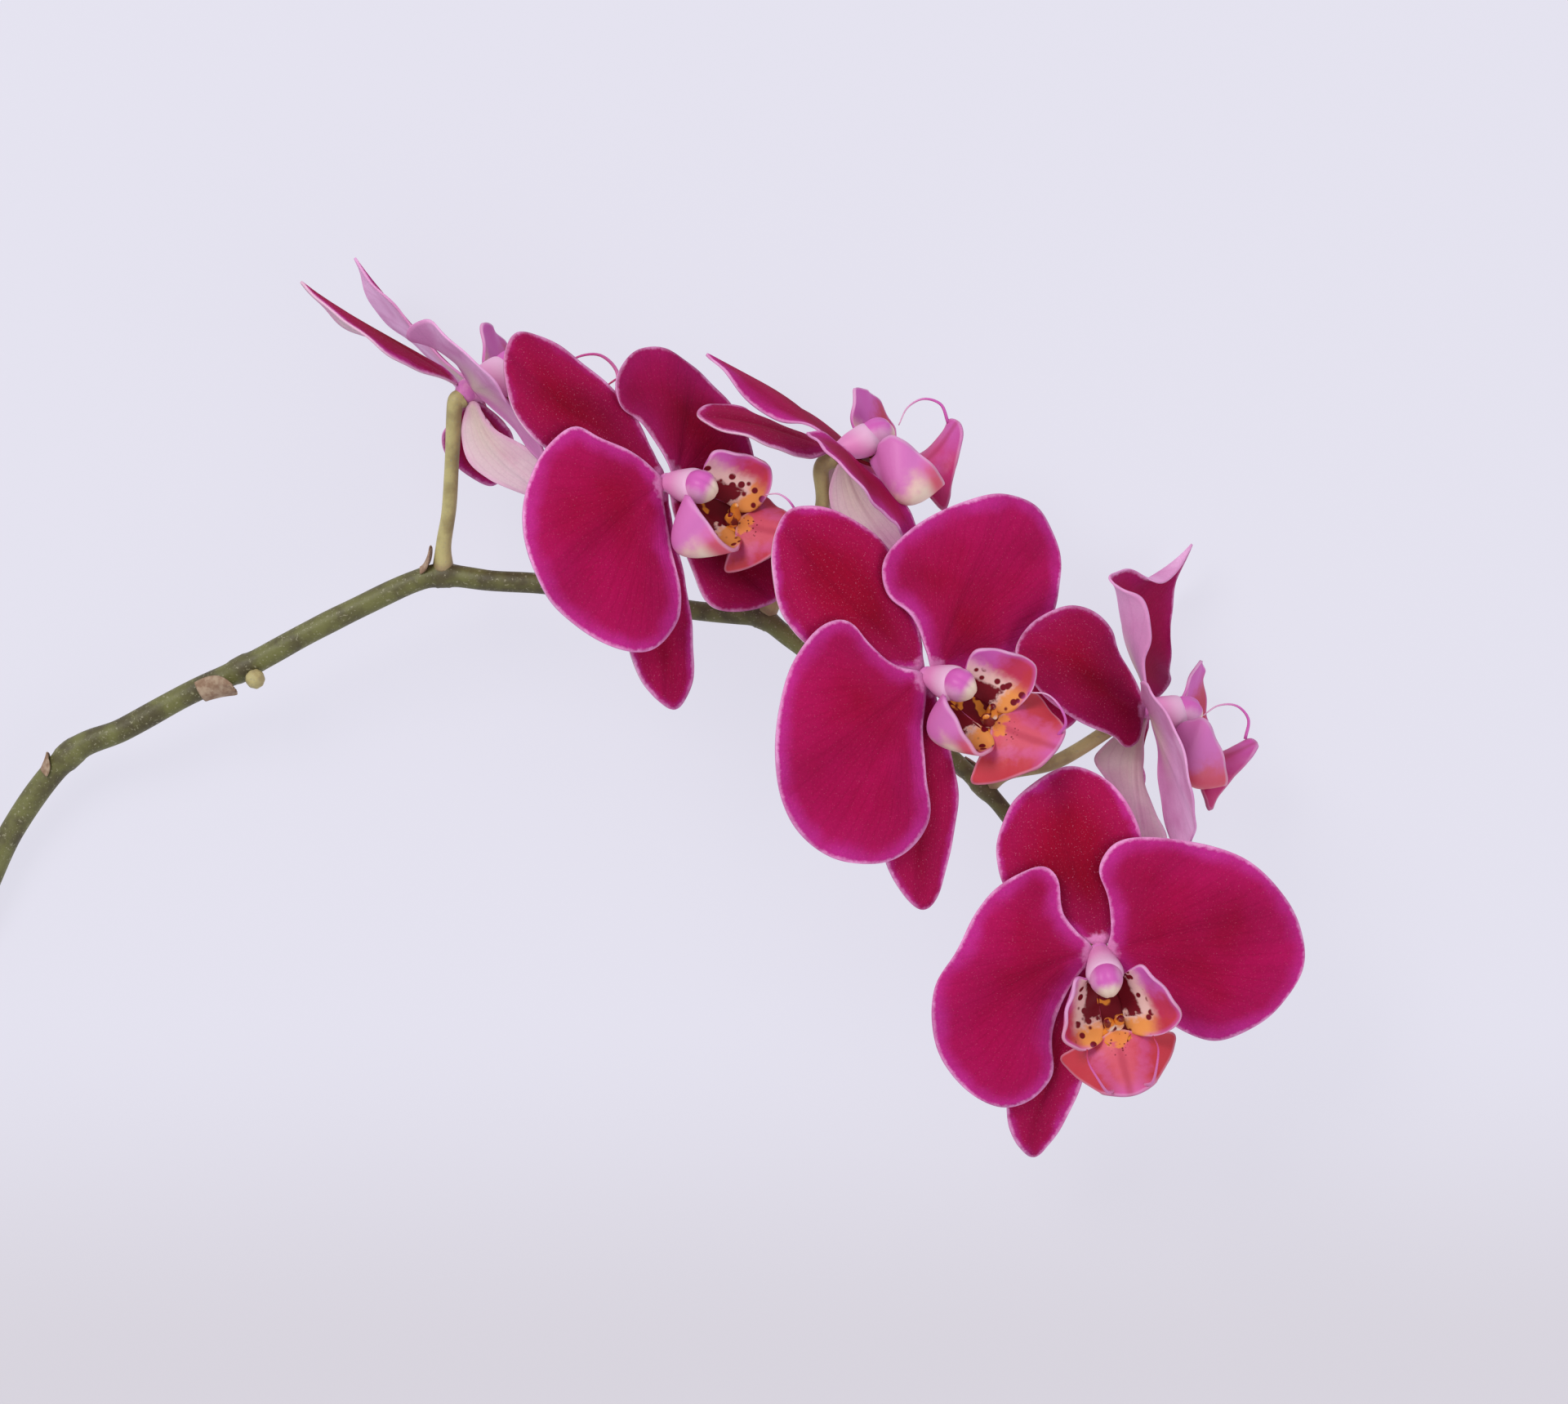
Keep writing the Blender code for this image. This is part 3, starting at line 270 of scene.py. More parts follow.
            (-9.1, 31, 1.5), (-3.5, 32.8, -7), (3.4, 29.4, -13), (8.4, 33.3, -17), (11.4, 39.2, -20),
            (8.6, 32, -24), (7, 26, -29), (6.5, 18, -31.5), (6.6, 10.5, -29), (5.6, 5.4, -16)],
            (-7.5, 1.0, 0.0)),
        "petal_left": ([
            (1.2, -2.2, 2.6), (-0.6, 1.6, 6), (-2.3, 6, 16), (-0.5, 5, 26), (3, -1, 33), (6.8, -10, 36),
            (9, -18, 34), (9.7, -26, 27), (9.5, -31.5, 18), (8, -36.5, 12), (5, -31, 7), (3.2, -20, 4.5),
            (2, -9, 3)], (1.5, 0.0, 0.0)),
        "sepal_left": ([
            (-0.8, -3.3, -2), (-6, -5.6, -3.6), (-11.5, -10.3, -3), (-12.1, -13, -2), (-9.2, -17, 0),
            (-5, -23, 2), (-2.5, -30, 4), (2, -39.5, 8), (4.2, -31, 3.5), (1.7, -24, 2), (-0.8, -17, 0),
            (-1.4, -9, -1.6), (0.4, -3.4, -0.6)], (-0.6, 0.0, 1.0)),
        "sepal_right": ([
            (0.6, -2.6, -2.6), (-5, -8.5, -8), (-7, -17, -13), (-4.5, -27, -20), (-0.5, -18.5, -19),
            (-1, -9, -12.5), (0.6, -3.2, -5.2)], (0.8, 0.0, 0.0)),
    },
    "f": {
        "centre": (73.2, -58.0, 50.0), "facing": (0.078, -0.287, 0.955), "up": (-0.185, 0.936, 0.298),
        "droop": 14.0, "spread": (0.80, 1.0),
        "node": 22, "pedicel": [(-7.5, 12.5, -13.0), (-3.6, 6.5, -9.5)],
        "dorsal_sepal": laid_on(DISH_F, SEPAL_LEVEL, 1.2, [
            (-3, 3.4), (-12, 7.5), (-21, 13.5), (-24, 22.5), (-22.6, 30), (-18.5, 36.8), (-8, 43.1),
            (1.5, 40), (7.5, 32.5), (10, 23), (7, 10), (3.2, 3.6)]),
        "petal_right": laid_on(DISH_F, PETAL_LEVEL, 2.4, [
            (3.6, -1.8), (3.3, 2.6), (3, 6.5), (1.8, 13), (-0.3, 19.5), (3.5, 25.3), (12, 26.7), (26, 24.6),
            (36, 20.2), (44.4, 11), (48.1, 0), (45.8, -8.8), (38.5, -16.3), (28, -20.8), (18.5, -18),
            (11.5, -11), (6.6, -6)]),
        "petal_left": laid_on(DISH_F, PETAL_LEVEL, 2.4, [
            (-3.1, 2.2), (-6, 5.5), (-8.9, 10), (-9.8, 17), (-14, 20), (-23, 15.7), (-28.7, 9.3),
            (-33, 0.5), (-38.2, -8.5), (-38.2, -20), (-33, -30.3), (-24, -36.3), (-16.5, -35), (-10.7, -29),
            (-10.9, -20), (-8.6, -11), (-5, -5.4), (-3.1, -2.2)]),
        "sepal_left": laid_on(DISH_F, SEPAL_LEVEL, 1.4, [
            (-2.4, -2.7), (-12, -12), (-19, -24), (-21.1, -35), (-19.9, -43), (-14.9, -48.8),
            (-10.2, -44.5), (-6.6, -38), (-3.2, -29), (-0.6, -17), (0.2, -5.2)]),
        "sepal_right": ([
            (2.2, -2.2, -1.4), (8, -0.6, -6), (16, 0, -14), (24, -3, -24), (27, -9, -31), (24, -15, -30),
            (15, -15.5, -21), (7, -11, -10), (1.6, -4.6, -2.6)], (1.2, -0.8, 1.0), (0.4, -0.2, 1.0)),
    },
}

# The lip, from the bloom's centre: right, up and forward as the bloom faces. LIP_SIDE is the right side lobe.
# LIP_CLAW and LIP_MIDDLE are the right halves of their margins.
LIP_CLAW = [(0.0, -3.5, 0.9), (2.6, -5.6, 2.0), (3.0, -11.0, 4.4), (3.3, -17.0, 6.6), (2.5, -20.0, 8.6)]
LIP_MIDDLE = [
    (0.0, -17.0, 6.8), (5.0, -18.4, 7.6), (10.5, -20.4, 6.0), (13.6, -23.2, 5.0), (11.4, -25.2, 10.0),
    (8.0, -25.4, 16.6), (5.4, -24.8, 21.2), (0.0, -25.4, 22.4)]
LIP_SIDE = [
    (2.2, -7.5, 3.2), (2.6, -12.5, 5.2), (2.9, -17.6, 7.2), (6.5, -19.4, 9.0), (11.5, -18.8, 11.0),
    (15.2, -15.5, 12.4), (14.2, -10.8, 12.9), (11.4, -5.6, 12.5), (8.6, -1.7, 11.4), (6.2, -2.6, 8.4),
    (4.2, -5.0, 5.2)]
LIP_TENDRIL = [
    (3.6, -24.7, 20.4), (5.4, -22.0, 23.8), (7.0, -18.0, 23.6), (8.2, -15.6, 20.2), (7.8, -15.0, 15.6)]
LIP_HINGE = (0.0, -18.0, 7.0)
LIP_THICKNESS = 0.75
# Past this far forward the middle lobe is its tip, and past this far to the side a side lobe leaves its root.
TIP_FORWARD = 8.0
ROOT_WIDTH = 4.0
# How far from the middle plane a side lobe's pale margin sets in, and where it is full.
FREE_MARGIN = (5.5, 8.0)
RUFFLES = 7.0
# Each lobe: the way its front faces, its grid's cells and its ruffle's height.
LOBES = {"claw": ((0, 0.7, 0.7), 14, 0.0), "middle": ((0, 1, 0.3), 34, 0.25),
         "right": ((-1, 0.3, 0.3), 28, 0.3), "left": ((1, 0.3, 0.3), 28, 0.3)}
# How the lobes' middles bulge. The left side lobe is cupped in a way of its own in each bloom.
CLAW_BULGE = (0.0, -0.6, -0.4)
MIDDLE_BULGE = (0.0, 1.2, 0.8)
RIGHT_BULGE = (1.2, -0.6, 0.0)
LEFT_BULGE = {"a": (-6.0, 1.0, -5.0), "b": (-8.5, 1.5, -6.0), "c": (-9.0, 0.0, -7.0),
              "d": (-5.5, 2.0, -7.0), "e": (-8.0, 0.0, -6.0), "f": (-2.5, 0.0, -2.0)}
# Which blooms have a magenta middle lobe, which a coral outside of the side lobes, which show one tendril
# only, and which have coral ones.
MAGENTA_LIPS = "ce"
CORAL_LOBES = "e"
ONE_TENDRIL = "bcde"
CORAL_TENDRILS = "af"
TENDRIL_RADIUS = 0.42
TENDRIL_TAPER = 0.17
CALLUS_HORN = [
    (0.7, -16.6, 6.4, 1.5), (1.2, -15.0, 7.6, 1.3), (1.5, -13.9, 9.2, 0.9), (1.2, -13.6, 10.6, 0.35)]

# The column's middle line and radius, and its cap.
COLUMN_ROUTE = [
    (0.0, 0.0, 0.0, 2.2), (0.0, -1.2, 2.4, 3.0), (0.0, -2.6, 4.6, 3.6), (0.0, -3.6, 6.6, 3.8),
    (0.0, -4.1, 8.2, 3.5)]
COLUMN_HOLLOW = 0.35
COLUMN_BREADTH = 0.12
HOOD_SWELL = 0.10
HOOD_TAPER = 0.25
HOOD_END = 0.85
CAP_CENTRE = (0.0, -4.1, 8.2)
CAP_SIZE = (3.9, 4.0, 4.7)
CAP_GROOVE = 0.12
GROOVE_WIDTH = 0.18
BEAK_PINCH = 0.55
BEAK_DROP = 0.25
KNOB_SIZE = 2.3

# Bracts clasp the stem at a node: point along the stem's route, way they open, length, half angle.
BRACTS = {
    "bract_lower": (3, (-0.2, 1.0, 0.3), 4.0, 60.0),
    "bract_middle": (6, (0.1, -0.75, 0.75), 8.5, 75.0),
    "bract_a": (10, (-0.1, 0.9, 0.2), 3.6, 50.0),
    "bract_b": (13, (0.3, -0.9, 0.1), 5.0, 60.0),
    "bract_c": (16, (0.2, 0.9, -0.3), 5.0, 60.0),
    "bract_d": (18, (0.3, -0.7, -0.6), 5.0, 60.0),
    "bract_e": (20, (0.2, 0.2, -1.0), 5.0, 60.0),
    "bract_f": (22, (-0.6, -0.5, -0.4), 4.5, 60.0),
}
BRACT_THICKNESS = 0.45
BRACT_GAP = 0.42
BRACT_TUCK = 0.35
BRACT_POINT = 0.98
BRACT_ROUNDING = 2.2
BRACT_RIPPLE = 0.12
BRACT_RIPPLES = 9.0
# How far a bract's tip stands off, as a share of its length, and how far short of its node the tip ends.
BRACT_FLARE = 0.20
BRACT_SETBACK = 2.9
STANDING_BRACTS = {"bract_a": (1.1, 1.3)}
BUD_NODE = 6
BUD_RADIUS = 2.3
BUD_OUT = (0.55, -0.45, 0.70)
BUD_JOINT = 0.3
BUD_UNEVEN = 0.05
CLEARANCE = 0.35

# Colours as Blender mixes them: linear red, green, blue.
PETAL_DEEP = (0.270, 0.002, 0.025)
PETAL_BRIGHT = (0.375, 0.004, 0.072)
PETAL_FLUSH = (0.420, 0.010, 0.120)
PETAL_EDGE = (0.800, 0.330, 0.620)
PETAL_HALO = (0.500, 0.026, 0.260)
PETAL_VEIN = (0.200, 0.001, 0.026)
# Painted glints: the colour of pale specks painted on tepal fronts where light would glint off them.
PAINTED_GLINT = (0.620, 0.140, 0.250)
PETAL_CLAW = (0.700, 0.240, 0.500)
SEPAL_DEEP = (0.200, 0.001, 0.012)
SEPAL_BRIGHT = (0.305, 0.002, 0.026)
BACK_PALE = (0.730, 0.540, 0.600)
PETAL_BACK_PALE = (0.770, 0.420, 0.680)
BACK_MAUVE = (0.520, 0.130, 0.360)
BACK_GREEN = (0.620, 0.500, 0.420)
STEM_DARK = (0.072, 0.060, 0.025)
STEM_GREEN = (0.145, 0.145, 0.045)
STEM_FLECK = (0.330, 0.310, 0.200)
PEDICEL_GREEN = (0.480, 0.420, 0.180)
PEDICEL_BROWN = (0.340, 0.280, 0.120)
BRACT_TAN = (0.260, 0.160, 0.105)
BRACT_PALE = (0.420, 0.310, 0.220)
VIOLET = (0.600, 0.110, 0.440)
VIOLET_PALE = (0.740, 0.420, 0.620)
VIOLET_SOFT = (0.640, 0.170, 0.480)
CRIMSON = (0.340, 0.015, 0.050)
CREAM = (0.800, 0.640, 0.520)
CORAL = (0.520, 0.040, 0.060)
CORAL_DEEP = (0.500, 0.035, 0.090)
CORAL_PINK = (0.640, 0.095, 0.150)
MAGENTA = (0.480, 0.020, 0.140)
MAGENTA_PINK = (0.560, 0.060, 0.220)
MAROON = (0.160, 0.004, 0.012)
ORANGE = (0.780, 0.270, 0.035)
WHITE_BAND = (0.800, 0.560, 0.500)


# Of Blender's node that mixes colours: which inputs are the factor and the two colours.
MIX_INPUTS = (0, 6, 7)
# How many veins fan out across a tepal.
VEINS = 17.0
FINE_VEINS = 41.0


class Number:
    """A number that varies over a surface. It is a node's output, and formulas of it make more nodes."""

    def __init__(self, look, socket):
        self.look = look
        self.socket = socket

    def __add__(self, other):
        return self.look.calc("ADD", self, other)

    def __sub__(self, other):
        return self.look.calc("SUBTRACT", self, other)

    def __rsub__(self, other):
        return self.look.calc("SUBTRACT", other, self)

    def __mul__(self, other):
        return self.look.calc("MULTIPLY", self, other)

    def __truediv__(self, other):
        return self.look.calc("DIVIDE", self, other)

    def __pow__(self, power):
        return self.look.calc("POWER", self, power)

    def __abs__(self):
        return self.look.calc("ABSOLUTE", self)


class Look:
    """A material, its nodes and its colour so far. Each node is added after those that it reads."""

    def __init__(self, name, roughness, specular, ground):
        self.surface = bpy.data.materials.new(name)
        self.surface.use_nodes = True
        self.tree = self.surface.node_tree
        self.shader = self.tree.nodes["Principled BSDF"]
        self.shader.inputs["Roughness"].default_value = roughness
        self.shader.inputs["Specular IOR Level"].default_value = specular
        self.colour = ground

    def node(self, kind, **settings):
        made = self.tree.nodes.new("ShaderNode" + kind)
        for key, value in settings.items():
            setattr(made, key, value)
        return made

    def plug(self, socket, value):
        """Gives a socket a number, a colour or another node's output."""
        if isinstance(value, Number):
            value = value.socket
        if isinstance(value, bpy.types.NodeSocket):
            self.tree.links.new(value, socket)
        elif isinstance(value, tuple):
            socket.default_value = (*value, 1.0)
        else:
            socket.default_value = value

    def calc(self, operation, first, second=0.0):
        made = self.node("Math", operation=operation)
        self.plug(made.inputs[0], first)
        self.plug(made.inputs[1], second)
        return Number(self, made.outputs[0])

    def attribute(self, name):
        """A number that the mesh keeps with each of its points."""
        return Number(self, self.node("Attribute", attribute_name=name).outputs["Fac"])

    def split(self, vector):
        made = self.node("SeparateXYZ")
        self.plug(made.inputs[0], vector)
        return [Number(self, output) for output in made.outputs]

    def place(self):
        """Right, up and forward of a lip's or a column's point, in millimetres."""
        return self.split(self.node("Attribute", attribute_name="place").outputs["Vector"])

    def texture(self, kind, size_mm, output, **settings):
        """A texture whose features are about size_mm across."""
        made = self.node(kind)
        self.plug(made.inputs["Vector"], self.node("TexCoord").outputs["Object"])
        made.inputs["Scale"].default_value = 1.0 / (size_mm * MM)
        for key, value in settings.items():
            made.inputs[key].default_value = value
        return Number(self, made.outputs[output])

    def noise(self, size_mm, detail=3.0, roughness=0.55):
        return self.texture("TexNoise", size_mm, "Fac", Detail=detail, Roughness=roughness)

    def wobble(self, height, size_mm, detail=3.0, roughness=0.55):
        """Noise that goes up and down about 0."""
        return (self.noise(size_mm, detail, roughness) - 0.5) * height

    def cells(self, size_mm):
        """0 at the middles of round cells, and more toward their walls."""
        return self.texture("TexVoronoi", size_mm, "Distance")

    def step(self, value, low, high):
        """Rises smoothly from 0 to 1 as value goes from low to high, or falls where low is the larger."""
        made = self.node("MapRange", interpolation_type="SMOOTHSTEP")
        backward = low > high
        self.plug(made.inputs["Value"], value)
        made.inputs["From Min"].default_value = min(low, high)
        made.inputs["From Max"].default_value = max(low, high)
        made.inputs["To Min"].default_value = 1.0 if backward else 0.0
        made.inputs["To Max"].default_value = 0.0 if backward else 1.0
        return Number(self, made.outputs["Result"])

    def mix(self, factor, first, second):
        """The first colour where factor is 0, the second where it is 1."""
        made = self.node("Mix", data_type="RGBA")
        for socket, value in zip(MIX_INPUTS, (factor, first, second)):
            self.plug(made.inputs[socket], value)
        return made.outputs[2]

    def paint(self, factor, colour):
        """Covers the colour so far with another, fully where the factor is 1."""
        self.colour = self.mix(factor, self.colour, colour)

    def shade(self, factor):
        """Makes the colour so far darker or lighter by a factor."""
        grey = self.node("CombineColor")
        for socket in grey.inputs[:3]:
            self.plug(socket, factor)
        made = self.node("Mix", data_type="RGBA", blend_type="MULTIPLY")
        for socket, value in zip(MIX_INPUTS, (1.0, self.colour, grey.outputs[0])):
            self.plug(made.inputs[socket], value)
        self.colour = made.outputs[2]

    def spot(self, centre, size, ragged=0.0):
        """1 inside a soft-edged spot about a point, given as right, up, forward, and 0 outside it."""
        right, up, forward = (abs((value - middle) / reach) ** 2.0
                              for value, middle, reach in zip(self.place(), centre, size))
        return self.step(right + up + forward + ragged, 1.15, 0.75)

    def finish(self, relief=None, strength=0.0, depth_mm=0.0):
        """Gives the material its colour, and fine relief where there is any."""
        self.plug(self.shader.inputs["Base Color"], self.colour)
        if relief is not None:
            made = self.node("Bump")
            for socket, value in (("Strength", strength), ("Distance", depth_mm * MM), ("Height", relief)):
                self.plug(made.inputs[socket], value)
            self.plug(self.shader.inputs["Normal"], made.outputs["Normal"])
        return self.surface


def vein_lines(look, count, width):
    """Lines that fan out from a tepal's claw, a little wavy."""
    wavy = look.attribute("fan") * count + look.noise(9.0, 2.0) * 2.2
    return look.step(abs(look.calc("SINE", wavy)), width, 0.0)


def tepal_front(name, deep, bright, halo_width, painted_glint_strength):
    """The velvety front: crimson near the claw, violet toward the margin, with a thin ragged pale rim,
    painted glints, painted shade and light of soft folds, and painted shade on fronts that lie in shade.
    """
    look = Look(name, 0.75, 0.06, deep)
    margin, reach, painted_shade_factor = look.attribute("margin"), look.attribute("reach"), look.attribute("painted_shade_factor")
    broad = look.noise(18.0, 2.0) * 0.9 + look.step(reach, 4.0, 36.0) * 0.45
    look.paint(look.step(broad, 0.40, 1.10), bright)
    fine_lines = vein_lines(look, FINE_VEINS, 0.5) * look.step(reach, 8.0, 20.0)
    lines = look.calc("MAXIMUM", vein_lines(look, VEINS, 0.45), fine_lines)
    look.paint(lines * 0.16, PETAL_VEIN)
    uneven = look.wobble(6.0, 11.0, 2.0)
    ragged = margin + look.wobble(1.3, 1.4, 3.0, 0.7)
    look.paint(look.step(margin + uneven, 13.0, 1.0) * 0.45, PETAL_FLUSH)
    # The violet halo shows less on fronts darkened by painted shade.
    lit = look.step(painted_shade_factor, 0.82, 0.95) * 0.60 + 0.25
    look.paint(look.step(ragged + uneven, halo_width, -0.2) * lit, PETAL_HALO)
    patchy = look.step(look.noise(7.0, 2.0), 0.40, 0.62) * 0.4 + 0.55
    look.paint(look.step(ragged + uneven * 0.20, 1.0, 0.1) * patchy, PETAL_EDGE)
    look.paint(look.step(reach + look.noise(1.6) * 3.5, 7.0, 5.2) * 0.9, PETAL_CLAW)
    # Painted glints: fine pale specks painted where light would glint off the velvet.
    painted_glint_mask = look.step(look.noise(0.34, 1.0, 0.6), 0.65, 0.74)
    look.paint(painted_glint_mask * painted_glint_strength, PAINTED_GLINT)
    # Painted shade and light in broad waves across the front, as of soft folds, over a fine random grain. The
    # front's painted shade factor then darkens all of it.
    painted_fold_shade = look.calc("SINE", look.attribute("fan") * 7.0 + look.noise(24.0, 1.0) * 9.0)
    grain_and_fold_shade = look.noise(0.6, 3.0, 0.7) * 0.52 + 0.74 + painted_fold_shade * (look.step(reach, 8.0, 24.0) * 0.07)
    look.shade(painted_shade_factor * grain_and_fold_shade)
    return look.finish(lines * -0.5 + look.noise(0.8, 3.0), 0.30, 0.25)


def tepal_back(name, pale, mottle, flush):
    """A tepal's pale back, mottled and flushed with mauve, with a green midrib near the claw."""
    look = Look(name, 0.6, 0.15, pale)
    margin, reach = look.attribute("margin"), look.attribute("reach")
    look.paint(look.step(look.noise(14.0, 2.0), 0.42, 0.64) * mottle, BACK_MAUVE)
    look.paint(look.step(reach, 44.0, 14.0) * flush, BACK_MAUVE)
    midrib = look.step(abs(look.attribute("fan")), 0.9, 0.1) * look.step(reach, 26.0, 8.0)
    look.paint(midrib * 0.75, BACK_GREEN)
    look.paint(vein_lines(look, VEINS, 0.35) * 0.16, BACK_MAUVE)
    look.paint(look.step(margin, 1.2, 0.2) * 0.35, PETAL_EDGE)
    look.shade(look.noise(0.6, 2.0, 0.7) * 0.24 + 0.88)
    return look.finish(vein_lines(look, VEINS, 0.5), 0.15, 0.2)


def stem_look(name, dark, green, scale):
    """A stem's or stalk's skin: blotched and flecked, and tan at its joints."""
    look = Look(name, 0.5, 0.4, green)
    look.paint(look.step(look.noise(7.0 * scale, 4.0), 0.38, 0.66), dark)
    specks = look.step(look.noise(0.7 * scale, 2.0, 0.6), 0.60, 0.68)
    look.paint(specks * 0.6, STEM_FLECK)
    look.paint(look.step(look.attribute("joint"), 0.0, 1.0) * 0.6, BRACT_TAN)
    return look.finish(look.noise(0.9 * scale, 4.0), 0.5, 0.25)


def bract_look():
    look = Look("bract_scale", 0.75, 0.2, BRACT_TAN)
    look.paint(look.step(look.noise(2.0, 4.0), 0.35, 0.65), BRACT_PALE)
    return look.finish(look.noise(0.8, 4.0), 0.6, 0.25)


def middle_lobe_look(name, corner, middle):
    """The lip's middle lobe: an orange throat, deep corners, a paler middle and a violet tip."""
    look = Look(name, 0.45, 0.25, middle)
    right, _, forward = look.place()
    side = abs(right)
    cloud = look.noise(2.5, 3.0)
    blur = (cloud - 0.5) * 5.0
    look.paint(look.step(side + blur, 1.5, 7.5), corner)
    look.paint(look.step(forward + blur, 16.0, 22.0) * 0.70, VIOLET)
    ridge = abs(side - (9.0 - forward * 0.36))
    look.paint(look.step(ridge + blur, 2.6, 0.0) * 0.30, VIOLET)
    groove = side + look.wobble(0.9, 4.0)
    look.paint(look.step(groove, 1.5, 0.1) * 0.40, CRIMSON)
    throat = look.spot((0.0, -18.0, 6.5), (3.4, 5.0, 4.0), (cloud - 0.4) * 2.4)
    look.paint(throat * 0.8, ORANGE)
    dotted = look.step(forward, 12.0, 10.0) * look.step(side, 3.0, 1.5)
    look.paint(look.step(look.cells(1.1), 0.26, 0.14) * dotted, MAROON)
    look.paint(look.step(look.attribute("margin"), 0.7, 0.1) * 0.35, VIOLET_PALE)
    return look.finish(look.noise(1.4, 3.0), 0.35, 0.3)


def inner_lobe_look():
    """The side lobes' inner skin: a maroon root, partly its own maroon and partly painted shade of the
    throat, a cream band, coral to violet, and orange below.
    """
    look = Look("lip_side_inner", 0.5, 0.12, VIOLET)
    right, up, _ = look.place()
    margin = look.attribute("margin")
    cloud = look.noise(1.8, 3.0) - 0.5
    low = up + cloud * 5.0
    side = abs(right) + cloud * 2.0
    slant = side + (up + 10.0) * 0.25
    look.paint(look.step(low, -4.5, -12.0), CORAL_DEEP)
    look.paint(look.step(slant, 10.2, 7.2) * 0.85, WHITE_BAND)
    below = look.mix(look.step(side, 7.0, 11.0), ORANGE, CORAL)
    look.paint(look.step(low, -13.8, -16.2) * 0.9, below)
    # Solid maroon at the root, low in the throat: partly the lobe's own maroon and partly painted shade.
    look.paint(look.step(slant, 6.4, 5.6) * look.step(low, -14.4, -13.6), MAROON)
    spots = look.step(look.cells(2.4), 0.40, 0.30)
    look.paint(spots * look.step(slant, 8.6, 7.8), MAROON)
    free = look.step(abs(right), *FREE_MARGIN) * 0.6
    look.paint(look.step(margin, 1.5, 0.2) * free, VIOLET)
    look.paint(look.step(margin, 0.5, 0.1) * free, VIOLET_PALE)
    return look.finish(look.noise(0.9, 3.0), 0.3, 0.2)


def outer_lobe_look(name, low):
    """The side lobes' outer skin: violet above, and its own colour low down, away from the margin."""
    look = Look(name, 0.45, 0.25, VIOLET_SOFT)
    right, up, _ = look.place()
    margin = look.attribute("margin")
    height = up + look.wobble(6.0, 3.0)
    look.paint(look.step(height, -7.5, -14.5), CORAL_PINK)
    look.paint(look.step(margin, 2.0, 6.0) * look.step(height, -6.5, -13.5), low)
    look.paint(look.step(margin, 1.0, 0.2) * look.step(abs(right), *FREE_MARGIN) * 0.6, VIOLET_PALE)
    return look.finish(look.noise(0.9, 3.0), 0.3, 0.2)


def claw_look():
    look = Look("lip_claw", 0.5, 0.12, ORANGE)
    look.paint(look.step(look.noise(3.0, 1.0), 0.40, 0.46), MAROON)
    return look.finish()


def callus_look():
    look = Look("lip_callus", 0.35, 0.5, ORANGE)
    look.paint(look.step(look.noise(4.0), 0.52, 0.66), CREAM)
    look.paint(look.step(look.noise(2.6, 1.0), 0.50, 0.55), MAROON)
    return look.finish()


def tendril_look():
    look = Look("lip_tendril", 0.4, 0.4, VIOLET)
    look.paint(look.step(look.attribute("margin"), 0.35, 0.9), VIOLET_PALE)
    return look.finish()


def column_look():
    """The column's body: paler toward its end, with a maroon hollow underneath."""
    look = Look("column", 0.45, 0.25, PETAL_CLAW)
    _, _, forward = look.place()
    look.paint(look.step(forward, 3.0, 7.5), VIOLET_PALE)
    look.paint(look.spot((0.0, -7.6, 6.6), (1.9, 2.0, 2.2)), MAROON)
    return look.finish(look.noise(1.0, 3.0), 0.3, 0.2)


def cap_look():
    """The anther cap: violet, paler at its sides, and cream at its lower end."""
    look = Look("anther_cap", 0.4, 0.3, VIOLET)
    right, up, forward = look.place()
    look.paint(look.step(abs(right) + look.noise(2.0) * 1.5, 2.4, 4.4) * 0.7, VIOLET_PALE)
    low = up - (forward - 9.0) * 0.6 + look.noise(1.5) * 1.2
    look.paint(look.step(low, -4.6, -7.2), CREAM)
    return look.finish(look.noise(0.8, 3.0), 0.3, 0.15)


def knob_look():
    look = Look("knob", 0.45, 0.35, VIOLET_SOFT)
    look.paint(look.step(look.noise(2.0), 0.4, 0.65), PETAL_CLAW)
    return look.finish()


def table_look():
    """A pale table that glows a little itself, so that shadows on it stay soft, and is darker low down."""
    look = Look("table", 0.9, 0.1, TABLE_LOW)
    _, y, _ = look.split(look.node("TexCoord").outputs["Object"])
    look.paint(look.step(y, *TABLE_FADE), TABLE_HIGH)
    look.plug(look.shader.inputs["Emission Color"], look.colour)
    look.plug(look.shader.inputs["Emission Strength"], TABLE_GLOW)
    look.shade(TABLE_SHADE)
    return look.finish()


def bend(p0, p1, p2, p3, u):
    """The Catmull-Rom point between p1 and p2, u from 0 to 1."""
    return 0.5 * ((2 * p1) + (p2 - p0) * u + (2 * p0 - 5 * p1 + 4 * p2 - p3) * u * u
                  + (3 * p1 - p0 - 3 * p2 + p3) * u ** 3)


def spline(points, t):
    """The point of a smooth open route, t from 0 to 1."""
    place = t * (len(points) - 1)
    i = min(int(place), len(points) - 2)
    p1, p2 = points[i], points[i + 1]
    p0 = points[i - 1] if i > 0 else 2 * p1 - p2
    p3 = points[i + 2] if i + 2 < len(points) else 2 * p2 - p1
    return bend(p0, p1, p2, p3, place - i)


def closed_margin(points):
    """The smooth closed curve through the margin's points, sampled evenly along its length."""
    ring = [np.array(p, dtype=float) for p in points]
    fine = []
    for i in range(len(ring)):
        corners = [ring[(i + k - 1) % len(ring)] for k in range(4)]
        fine += [bend(*corners, u) for u in np.linspace(0.0, 1.0, SPAN_SAMPLES, endpoint=False)]
    fine = np.array(fine + fine[:1])
    reach = np.concatenate([[0.0], np.cumsum(np.linalg.norm(np.diff(fine, axis=0), axis=1))])
    even = np.linspace(0.0, reach[-1], MARGIN_SAMPLES, endpoint=False)
    return np.stack([np.interp(even, reach, fine[:, k]) for k in range(3)], axis=1)


